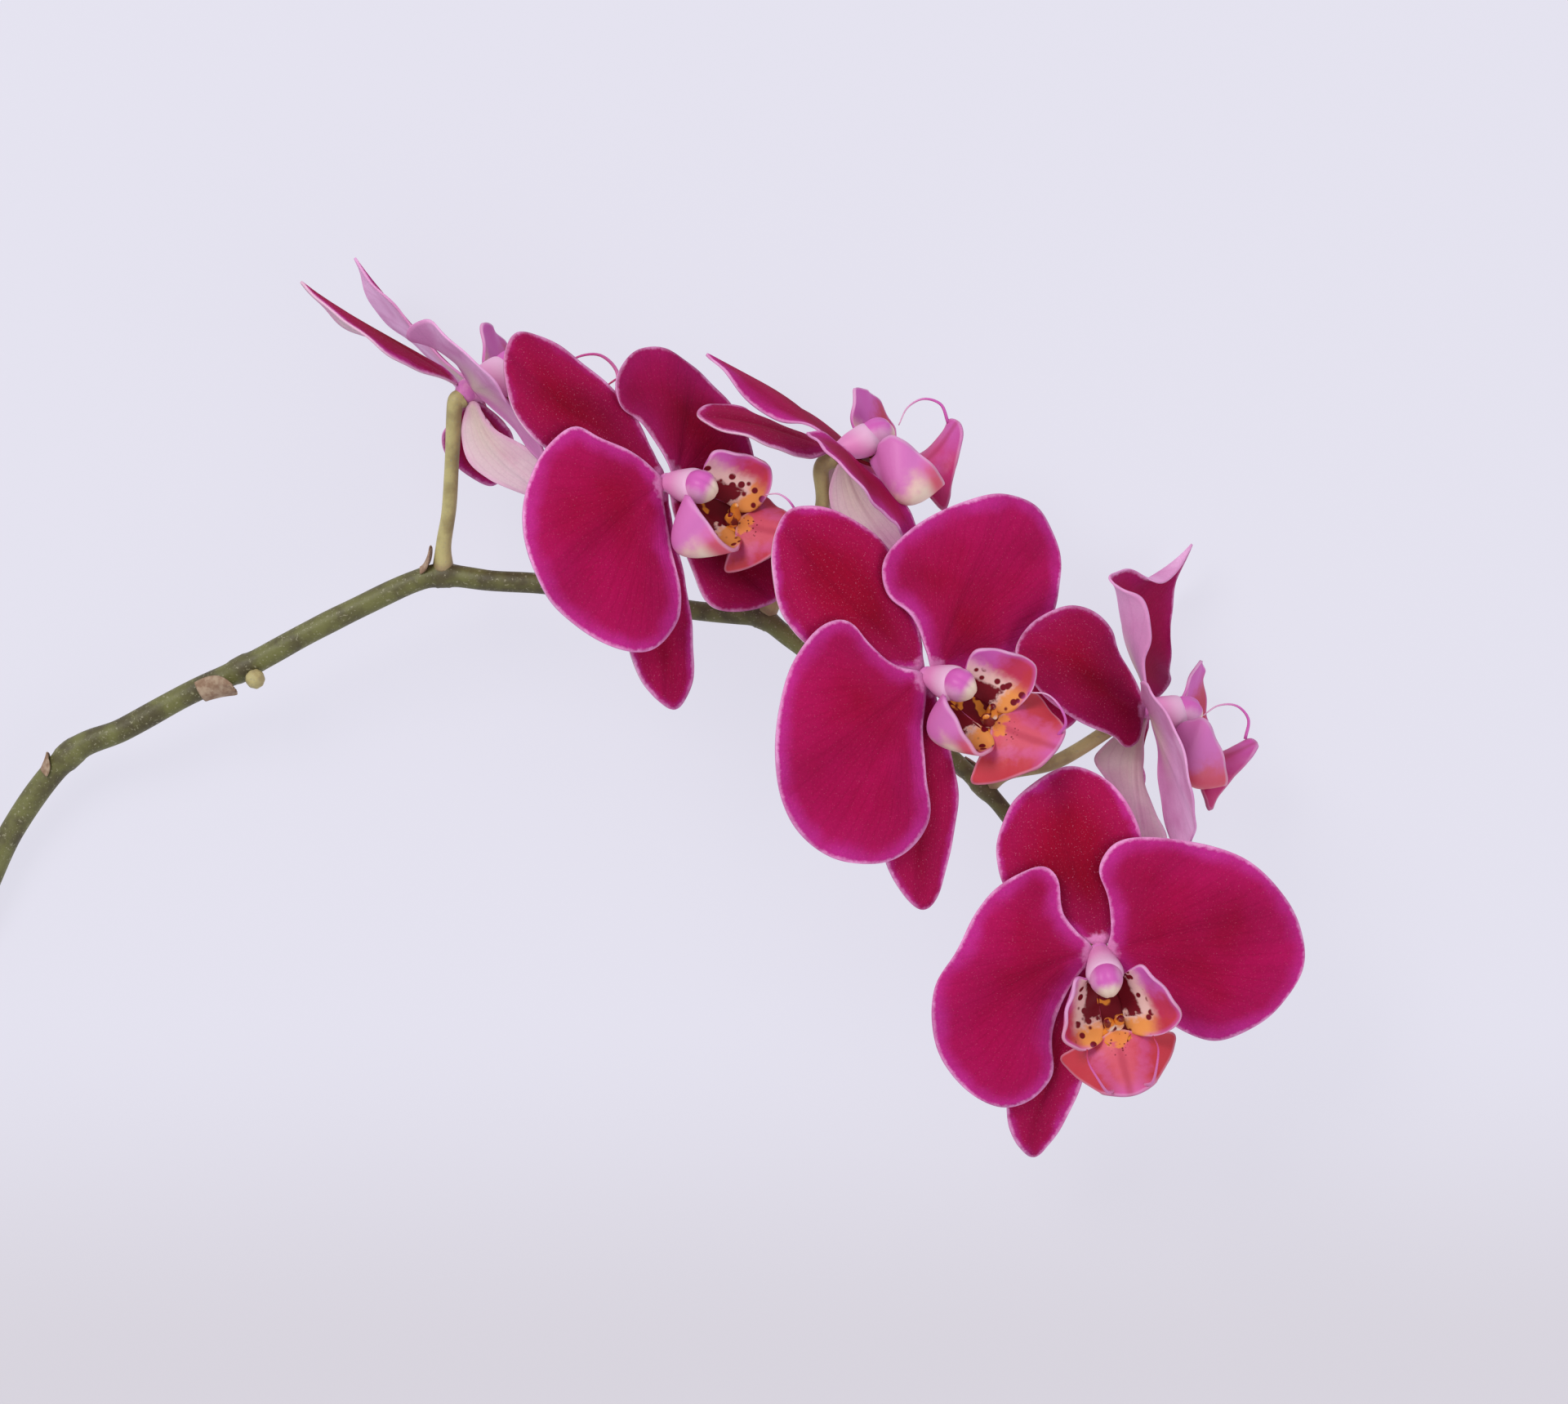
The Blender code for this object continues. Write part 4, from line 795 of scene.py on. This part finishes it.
class Sheet:
    """The smoothest sheet that spans a closed margin, like a soap film, with a bulge in its middle."""

    def __init__(self, margin, bulge, front):
        ring = closed_margin(margin)
        area = np.cross(ring, np.roll(ring, -1, axis=0)).sum(axis=0)
        if np.dot(area, front) < 0:
            ring = ring[::-1]
        self.waves = np.fft.rfft(ring, axis=0) / len(ring)
        self.bulge = np.array(bulge)
        self.edge_angles = np.linspace(0.0, 2.0 * math.pi, EDGE_SAMPLES, endpoint=False)
        self.edge = self.at(np.ones(EDGE_SAMPLES), self.edge_angles)

    def at(self, radius, angle):
        """The sheet's points at these radii and angles of a disc."""
        points = np.tile(self.waves[0].real, (len(radius), 1))
        for m in range(1, HARMONICS + 1):
            turn = np.exp(1j * m * angle)
            points += 2.0 * (radius ** m)[:, None] * (self.waves[m][None, :] * turn[:, None]).real
        return points + self.bulge * (1.0 - radius ** 2)[:, None]

    def normals(self, radius, angle):
        """The directions square to the sheet at these points."""
        small = 0.01
        x, y = radius * np.cos(angle), radius * np.sin(angle)
        steps = []
        for dx, dy in ((small, 0.0), (0.0, small)):
            ahead = self.at(np.hypot(x + dx, y + dy), np.arctan2(y + dy, x + dx))
            behind = self.at(np.hypot(x - dx, y - dy), np.arctan2(y - dy, x - dx))
            steps.append(ahead - behind)
        normal = np.cross(steps[0], steps[1])
        return normal / np.maximum(np.linalg.norm(normal, axis=1), 1e-9)[:, None]


def disc_grid(cells):
    """A square grid to be drawn onto a disc, and its points' coordinates, radii and angles there."""
    bm = bmesh.new()
    bmesh.ops.create_grid(bm, x_segments=cells, y_segments=cells, size=1.0)
    flat = np.array([vert.co[:2] for vert in bm.verts])
    across = flat[:, 0] * np.sqrt(1.0 - flat[:, 1] ** 2 / 2.0)
    along = flat[:, 1] * np.sqrt(1.0 - flat[:, 0] ** 2 / 2.0)
    return bm, across, along, np.hypot(across, along), np.arctan2(along, across)


def ball(subdivisions, radius):
    bm = bmesh.new()
    bmesh.ops.create_icosphere(bm, subdivisions=subdivisions, radius=radius)
    return bm


def tube(kind, route, swell=lambda share, centre: 1.0):
    """A round tube along (x, y, z, radius), and how far along it each point lies, from 0 to 1."""
    sides, rings = TUBES[kind]
    points = [np.array(p, dtype=float) for p in route]
    centres = [spline(points, i / rings) for i in range(rings + 1)]
    bm = bmesh.new()
    loops = []
    shares = []
    side = None
    for i, centre in enumerate(centres):
        ahead = Vector(centres[min(i + 1, rings)][:3] - centres[max(i - 1, 0)][:3]).normalized()
        side = square_to(ahead, ahead.orthogonal() if side is None else side)
        other = ahead.cross(side)
        radius = max(centre[3], LEAST_RADIUS) * swell(i / rings, centre)
        ring = bmesh.ops.create_circle(bm, segments=sides, radius=radius)["verts"]
        for vert in ring:
            vert.co = Vector(centre[:3]) + side * vert.co.x + other * vert.co.y
            shares.append(i / rings)
        loops.append(list({edge for vert in ring for edge in vert.link_edges}))
    for first, second in zip(loops, loops[1:]):
        bmesh.ops.bridge_loops(bm, edges=first + second)
    bmesh.ops.holes_fill(bm, edges=bm.edges, sides=sides)
    bmesh.ops.recalc_face_normals(bm, faces=bm.faces)
    return bm, np.array(shares)


def square_to(axis, vector):
    """The part of a vector that is square to an axis, made one long."""
    return (vector - axis * vector.dot(axis)).normalized()


def positions(bm):
    return np.array([vert.co[:] for vert in bm.verts])


def move_points(bm, points):
    for vert, point in zip(bm.verts, points):
        vert.co = Vector(point)


def store(bm, numbers):
    """Stores with each point what the surface's colours are worked out from."""
    for name, column in numbers.items():
        layer = bm.verts.layers.float.new(name)
        for vert, value in zip(bm.verts, column):
            vert[layer] = float(value)


def distance_to(points, targets):
    return np.linalg.norm(points[:, None, :] - targets[None, :, :], axis=2).min(axis=1)


def add_object(name, data):
    made = bpy.data.objects.new(name, data)
    bpy.context.scene.collection.objects.link(made)
    return made


def new_piece(name, bm, skins, node):
    """Puts a shape in millimetres into the scene, as a smooth piece that stands for one of the solids."""
    bmesh.ops.translate(bm, vec=Vector(SHIFT), verts=bm.verts)
    bmesh.ops.scale(bm, vec=Vector((MM, MM, MM)), verts=bm.verts)
    mesh = bpy.data.meshes.new(name)
    bm.to_mesh(mesh)
    bm.free()
    mesh.shade_smooth()
    for skin in skins:
        mesh.materials.append(skin)
    piece = add_object(name, mesh)
    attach(piece, "root")
    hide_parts(node)
    return piece


def give_thickness(piece, thickness, back_slot):
    solid = piece.modifiers.new("thickness", "SOLIDIFY")
    solid.thickness = thickness * MM
    solid.offset = 0.0
    solid.material_offset = back_slot
    solid.material_offset_rim = back_slot


def bloom_piece(letter, slot, tail, bm, skins, numbers):
    """Takes a shape given as right, up and forward to its bloom, and keeps those three with each point."""
    bloom = BLOOMS[letter]
    node = f"bloom_{letter}_{slot}"
    points = positions(bm)
    layer = bm.verts.layers.float_vector.new("place")
    for vert, point in zip(bm.verts, points):
        vert[layer] = Vector(point)
    store(bm, numbers)
    move_points(bm, points @ bloom_axes(bloom).T + np.array(bloom["centre"]))
    return new_piece(f"{node}_{tail}", bm, skins, node)


def bloom_axes(bloom):
    """Columns right, up and forward of a bloom, square to each other, in the size of its lip."""
    forward = Vector(bloom["facing"]).normalized()
    up = square_to(forward, Vector(bloom["up"]))
    return np.array(Matrix((up.cross(forward), up, forward))).T * bloom.get("lip_size", 1.0)


def drawn_in(point, least):
    """Draws the margin near the claw in toward the bloom's middle, where it meets the column."""
    share = min(1.0, max(0.0, (np.linalg.norm(point) - CLAW_START) / CLAW_LENGTH))
    return point * (least + (1.0 - least) * share)


def fan_angles(sheet, centre, across, along, closing):
    """Each point's direction from the claw, 0 along the middle. Closing, the lines meet at the tip too."""
    claw_at = sheet.edge_angles[np.linalg.norm(sheet.edge - centre, axis=1).argmin()]
    side = -across * math.sin(claw_at) + along * math.cos(claw_at)
    ahead = 1.0 - (across * math.cos(claw_at) + along * math.sin(claw_at))
    fan = np.arctan2(side, ahead + FAN_BLUR)
    return 0.5 * (fan + np.arctan2(side, 2.0 + FAN_BLUR - ahead)) if closing else fan


def make_tepal(letter, part, looks):
    """A petal or sepal in its two skins, with a soft wave in its margin and a crease down its middle."""
    bloom = BLOOMS[letter]
    centre = np.array(bloom["centre"])
    margin, bulge, front = (*bloom[part], bloom["facing"])[:3]
    kind = "petal" if part.startswith("petal") else "sepal"
    node = f"bloom_{letter}_{part}"
    name = node + "_skin"
    least = bloom.get("claw", CLAW_SHARE)
    sheet = Sheet([centre + drawn_in(np.array(p), least) for p in margin], bulge, front)
    bm, across, along, radius, angle = disc_grid(TEPAL_CELLS[kind])
    place = sheet.at(radius, angle)
    from_margin = distance_to(place, sheet.edge)
    fan = fan_angles(sheet, centre, across, along, kind == "sepal")
    seed = sum(ord(sign) for sign in name)
    wave = np.sin(angle * WAVES[kind] + seed) + 0.5 * np.sin(angle * (WAVES[kind] * 2 + 1) + seed * 2)
    crease = np.exp(-(fan / CREASE_WIDTH) ** 2) * (1 - radius ** 4)
    lift = WAVE_HEIGHT * radius ** 5 * wave - CREASE_DEPTH * crease
    place = place + sheet.normals(radius, angle) * lift[:, None]
    place[:, 2] = np.maximum(place[:, 2], TEPAL_THICKNESS / 2)
    # Each point keeps its tepal's painted shade factor: fronts that lie in shade are painted darker.
    store(bm, {"margin": from_margin, "fan": fan, "reach": np.linalg.norm(place - centre, axis=1),
               "painted_shade_factor": [PAINTED_SHADE_FACTORS.get(f"{letter}_{part}", 1.0)] * len(place)})
    move_points(bm, place)
    skins = looks[kind][::-1] if f"{letter}_{part}" in TURNED_OVER else looks[kind]
    give_thickness(new_piece(name, bm, skins, node), TEPAL_THICKNESS, 1)


def mirrored(points):
    return [(-p[0], *p[1:]) for p in points]


def whole(half):
    """A closed margin from its right half."""
    return half + mirrored(p for p in reversed(half) if p[0] > 0)


def drooped(points, bloom):
    """Turns the lip's middle lobe up or down about its hinge, and sizes it."""
    turn = Matrix.Rotation(math.radians(bloom["droop"]), 3, "X") * bloom.get("middle_size", 1.0)
    hinge = Vector(LIP_HINGE)
    return [tuple(hinge + turn @ (Vector(p) - hinge)) for p in points]


def narrowed(points, width):
    """Draws the middle lobe's tip in toward the middle plane."""
    return [(p[0] * (width if p[2] > TIP_FORWARD else 1.0), p[1], p[2]) for p in points]


def spread(points, share, lift=0.0, push=0.0):
    """Opens or closes a side lobe, past its root, by its distance from the middle plane, and shifts it."""
    return [(p[0] * share, p[1] + lift, p[2] + push) if p[0] > ROOT_WIDTH else p for p in points]


def lobe(letter, tail, margin, bulge, skins):
    """One lobe of a lip, as a thin sheet with a soft ruffle at its margin."""
    front, cells, ruffle = LOBES[tail]
    sheet = Sheet(margin, bulge, front)
    bm, _, _, radius, angle = disc_grid(cells)
    points = sheet.at(radius, angle)
    from_margin = distance_to(points, sheet.edge)
    lift = ruffle * radius ** 4 * np.sin(angle * RUFFLES + ord(letter))
    move_points(bm, points + sheet.normals(radius, angle) * lift[:, None])
    piece = bloom_piece(letter, "lip", tail, bm, skins, {"margin": from_margin})
    give_thickness(piece, LIP_THICKNESS, len(skins) - 1)


def make_lip(letter, looks):
    """The lip: its claw, middle lobe and side lobes, the callus's two horns, and the tendrils at its tip."""
    bloom = BLOOMS[letter]
    lobe(letter, "claw", whole(LIP_CLAW), CLAW_BULGE, [looks["claw"]])
    middle = drooped(narrowed(whole(LIP_MIDDLE), bloom.get("tip_width", 1.0)), bloom)
    skin = looks["magenta" if letter in MAGENTA_LIPS else "coral"]
    lobe(letter, "middle", middle, MIDDLE_BULGE, [skin])
    left_share, right_share = bloom["spread"]
    right = spread(LIP_SIDE, right_share, *bloom.get("far_shift", ()))
    left = mirrored(spread(LIP_SIDE, left_share))
    skins = [looks["inner"], looks["outer_coral" if letter in CORAL_LOBES else "outer_cream"]]
    lobe(letter, "right", right, RIGHT_BULGE, skins)
    lobe(letter, "left", left, LEFT_BULGE[letter], skins)
    for label, horn in (("right", CALLUS_HORN), ("left", mirrored(CALLUS_HORN))):
        bm, _ = tube("horn", horn)
        bloom_piece(letter, "lip", f"horn_{label}", bm, [looks["callus"]], {})
    skin = looks["coral" if letter in CORAL_TENDRILS else "tendril"]
    tendrils = [LIP_TENDRIL] if letter in ONE_TENDRIL else [LIP_TENDRIL, mirrored(LIP_TENDRIL)]
    for i, tendril in enumerate(tendrils):
        radii = [TENDRIL_RADIUS * (1.0 - TENDRIL_TAPER * k) for k in range(len(tendril))]
        bm, shares = tube("tendril", [(*p, radius) for p, radius in zip(drooped(tendril, bloom), radii)])
        bloom_piece(letter, "lip", f"tendril_{i}", bm, [skin], {"margin": shares})


def hood(share, centre):
    """The column swells to its hood and narrows to its end."""
    return 1.0 + HOOD_SWELL * math.sin(math.pi * share) - HOOD_TAPER * max(0.0, share - HOOD_END)


def make_column(letter, looks):
    """The column: its body, flatter underneath, its cap with a groove and a beak, and the knob behind it."""
    route = [np.array(p) for p in COLUMN_ROUTE]
    bm, shares = tube("column", route, hood)
    for vert, share in zip(bm.verts, shares):
        under = min(0.0, vert.co.y - spline(route, share)[1])
        vert.co.y -= COLUMN_HOLLOW * under * share
        vert.co.x *= 1.0 + COLUMN_BREADTH * share
    bloom_piece(letter, "column", "hood", bm, [looks["column"]], {})
    cap = ball(subdivisions=4, radius=1.0)
    for vert in cap.verts:
        groove = CAP_GROOVE * math.exp(-(vert.co.x / GROOVE_WIDTH) ** 2) * max(0.0, vert.co.z)
        beak = max(0.0, -vert.co.y) * max(0.0, vert.co.z)
        vert.co *= 1.0 - groove
        vert.co.x *= 1.0 - BEAK_PINCH * beak
        vert.co.y -= BEAK_DROP * beak
    bmesh.ops.scale(cap, vec=Vector(CAP_SIZE), verts=cap.verts)
    bmesh.ops.translate(cap, vec=Vector(CAP_CENTRE), verts=cap.verts)
    bloom_piece(letter, "column", "cap", cap, [looks["cap"]], {})
    knob = ball(subdivisions=3, radius=KNOB_SIZE)
    bloom_piece(letter, "column", "knob", knob, [looks["knob"]], {})


def ribbed(share, centre):
    return STALK_FULLNESS + FINE_WAVE * math.sin(share * STALK_RIPPLES)


def make_stalk(letter, skin):
    """A bloom's stalk: out of the stem, round to the back of the bloom and into its knob."""
    bloom = BLOOMS[letter]
    node = bloom["node"]
    before, here, after = (Vector(STEM_ROUTE[k][:3]) for k in (node - 1, node, node + 1))
    centre = Vector(bloom["centre"])
    back = -Vector(bloom["facing"]).normalized()
    middle = [centre + Vector(p) for p in bloom["pedicel"]]
    out = square_to((after - before).normalized(), middle[0] - here)
    foot = here + out * (STEM_ROUTE[node][3] - STALK_SUNK)
    ahead = (middle[0] - foot).normalized()
    rise = foot + (out + STALK_LEAN * ahead).normalized() * STALK_RISE
    hook = centre + back * (KNOB_RADIUS + bloom.get("hook", STALK_HOOK))
    end = centre + back * (KNOB_RADIUS - KNOB_SUNK)
    route = [(*point, radius) for point, radius in zip((foot, rise, *middle, hook, end), STALK_RADII)]
    bm, shares = tube("stalk", route, ribbed)
    store(bm, {"joint": np.exp(-(shares / STALK_JOINT) ** 2)})
    new_piece(f"bloom_{letter}_stalk", bm, [skin], f"bloom_{letter}_pedicel")


def make_stem(skin):
    """The stem, thicker at its joints, with scar rings beside each."""
    knots = np.array([STEM_ROUTE[node][:3] for node in sorted({bract[0] for bract in BRACTS.values()})])

    def swell(share, centre):
        gaps = [np.linalg.norm(centre[:3] - knot) for knot in knots]
        bulges = sum(math.exp(-(2.0 * gap / KNOT_LENGTH) ** 2) for gap in gaps)
        rings = sum(math.exp(-((gap - RING_PLACE) / RING_WIDTH) ** 2) for gap in gaps)
        ripples = FINE_WAVE * math.sin(share * STEM_RIPPLES)
        return STEM_FULLNESS + (KNOT_HEIGHT * bulges + RING_HEIGHT * rings) / centre[3] + ripples

    bm, _ = tube("stem", STEM_ROUTE, swell)
    store(bm, {"joint": np.exp(-(distance_to(positions(bm), knots) / JOINT_LENGTH) ** 2)})
    for vert in bm.verts:
        vert.co.z = max(vert.co.z, 0.0)
    new_piece("stem_skin", bm, [skin], "stem")


def make_bract(name, node, opening, length, half_angle, skin):
    """A pointed dry scale wrapped part of the way round the stem, its tip standing off."""
    here = Vector(STEM_ROUTE[node][:3])
    along = (here - Vector(STEM_ROUTE[node - 1][:3])).normalized()
    out = square_to(along, Vector(opening))
    side = along.cross(out)
    radius = STEM_ROUTE[node][3] + KNOT_HEIGHT + BRACT_THICKNESS / 2 + BRACT_GAP
    flare, setback = STANDING_BRACTS.get(name, (BRACT_FLARE, BRACT_SETBACK))
    bm = bmesh.new()
    bmesh.ops.create_grid(bm, x_segments=BRACT_CELLS[0], y_segments=BRACT_CELLS[1], size=1.0)
    for vert in bm.verts:
        height = (vert.co.y + 1) / 2
        point = math.sqrt(max(0.0, 1.0 - BRACT_POINT * height ** BRACT_ROUNDING))
        turn = math.radians(half_angle) * vert.co.x * point
        reach = radius + flare * length * height ** 2 - BRACT_TUCK * (1.0 - height) ** 3
        reach += BRACT_RIPPLE * math.sin(vert.co.x * BRACT_RIPPLES) * height
        vert.co = (here + along * ((height - 1.0) * length - setback)
                   + (out * math.cos(turn) + side * math.sin(turn)) * reach)
    give_thickness(new_piece(name + "_scale", bm, [skin], name), BRACT_THICKNESS, 0)


def bud_centre():
    x, y, z, radius = STEM_ROUTE[BUD_NODE]
    return Vector((x, y, z)) + Vector(BUD_OUT).normalized() * (radius + KNOT_HEIGHT + BUD_RADIUS + CLEARANCE)


def make_bud(skin):
    bm = ball(subdivisions=4, radius=BUD_RADIUS)
    for vert in bm.verts:
        vert.co *= 1.0 + BUD_UNEVEN * math.sin(vert.co.x * 3.0) * math.cos(vert.co.y * 2.5)
    bmesh.ops.translate(bm, vec=bud_centre(), verts=bm.verts)
    store(bm, {"joint": [BUD_JOINT] * len(bm.verts)})
    new_piece("dormant_bud_skin", bm, [skin], "dormant_bud")


def shift_of_frame():
    """How far the solid model was moved, from where its bud lies."""
    low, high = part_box("dormant_bud")
    middle = (Vector(low) + Vector(high)) / 2 / MM
    return np.array(middle - bud_centre())


def make_table():
    bm = bmesh.new()
    bmesh.ops.create_grid(bm, x_segments=1, y_segments=1, size=TABLE_SIZE)
    mesh = bpy.data.meshes.new("table")
    bm.to_mesh(mesh)
    bm.free()
    mesh.materials.append(table_look())
    table = add_object("table", mesh)
    table.location.z = -TABLE_DROP


def make_light():
    """A pale sky all round and two soft lamps that face the middle of the table."""
    scene = bpy.context.scene
    scene.world = bpy.data.worlds.new("studio")
    scene.world.use_nodes = True
    sky = scene.world.node_tree.nodes["Background"].inputs
    sky["Color"].default_value = SKY_COLOUR
    sky["Strength"].default_value = SKY_STRENGTH
    for name, (place, size, power, colour) in LAMPS.items():
        data = bpy.data.lights.new(name, "AREA")
        data.shape = "DISK"
        data.size = size
        data.energy = power
        data.color = colour
        lamp = add_object(name, data)
        lamp.location = place
        lamp.rotation_euler = (-Vector(place)).to_track_quat("-Z", "Y").to_euler()
    scene.view_settings.view_transform = "Standard"
    scene.view_settings.look = "None"


def make_camera():
    """Looks straight down, so that a pixel of the picture is 0.19 mm at the height of the blooms' middles."""
    data = bpy.data.cameras.new("camera")
    data.sensor_width = SENSOR_WIDTH
    data.lens = SENSOR_WIDTH * CAMERA_HEIGHT / (PICTURE_WIDTH * PIXEL * MM)
    data.clip_end = 20.0
    camera = add_object("camera", data)
    camera.location = (SHIFT[0] * MM, SHIFT[1] * MM, CAMERA_HEIGHT + BLOOM_HEIGHT)
    bpy.context.scene.camera = camera


def main():
    make_table()
    make_light()
    make_camera()
    tepal_looks = {
        "petal": [tepal_front("petal_front", PETAL_DEEP, PETAL_BRIGHT, halo_width=5.2, painted_glint_strength=0.22),
                  tepal_back("petal_back", PETAL_BACK_PALE, mottle=0.6, flush=0.6)],
        "sepal": [tepal_front("sepal_front", SEPAL_DEEP, SEPAL_BRIGHT, halo_width=2.5, painted_glint_strength=0.45),
                  tepal_back("sepal_back", BACK_PALE, mottle=0.4, flush=0.0)]}
    lip_looks = {
        "claw": claw_look(), "inner": inner_lobe_look(), "callus": callus_look(), "tendril": tendril_look(),
        "outer_cream": outer_lobe_look("lip_side_outer_cream", CREAM),
        "outer_coral": outer_lobe_look("lip_side_outer_coral", CORAL_PINK),
        "coral": middle_lobe_look("lip_middle_coral", CORAL, CORAL_PINK),
        "magenta": middle_lobe_look("lip_middle_magenta", MAGENTA, MAGENTA_PINK)}
    column_looks = {"column": column_look(), "cap": cap_look(), "knob": knob_look()}
    stalk = stem_look("stalk", PEDICEL_BROWN, PEDICEL_GREEN, scale=0.8)
    scale = bract_look()
    make_stem(stem_look("stem", STEM_DARK, STEM_GREEN, scale=1.0))
    for name, bract in BRACTS.items():
        make_bract(name, *bract, scale)
    make_bud(stalk)
    for letter in BLOOMS:
        for part in ("dorsal_sepal", "petal_left", "petal_right", "sepal_left", "sepal_right"):
            make_tepal(letter, part, tepal_looks)
        make_lip(letter, lip_looks)
        make_column(letter, column_looks)
        make_stalk(letter, stalk)


SHIFT = shift_of_frame()
main()
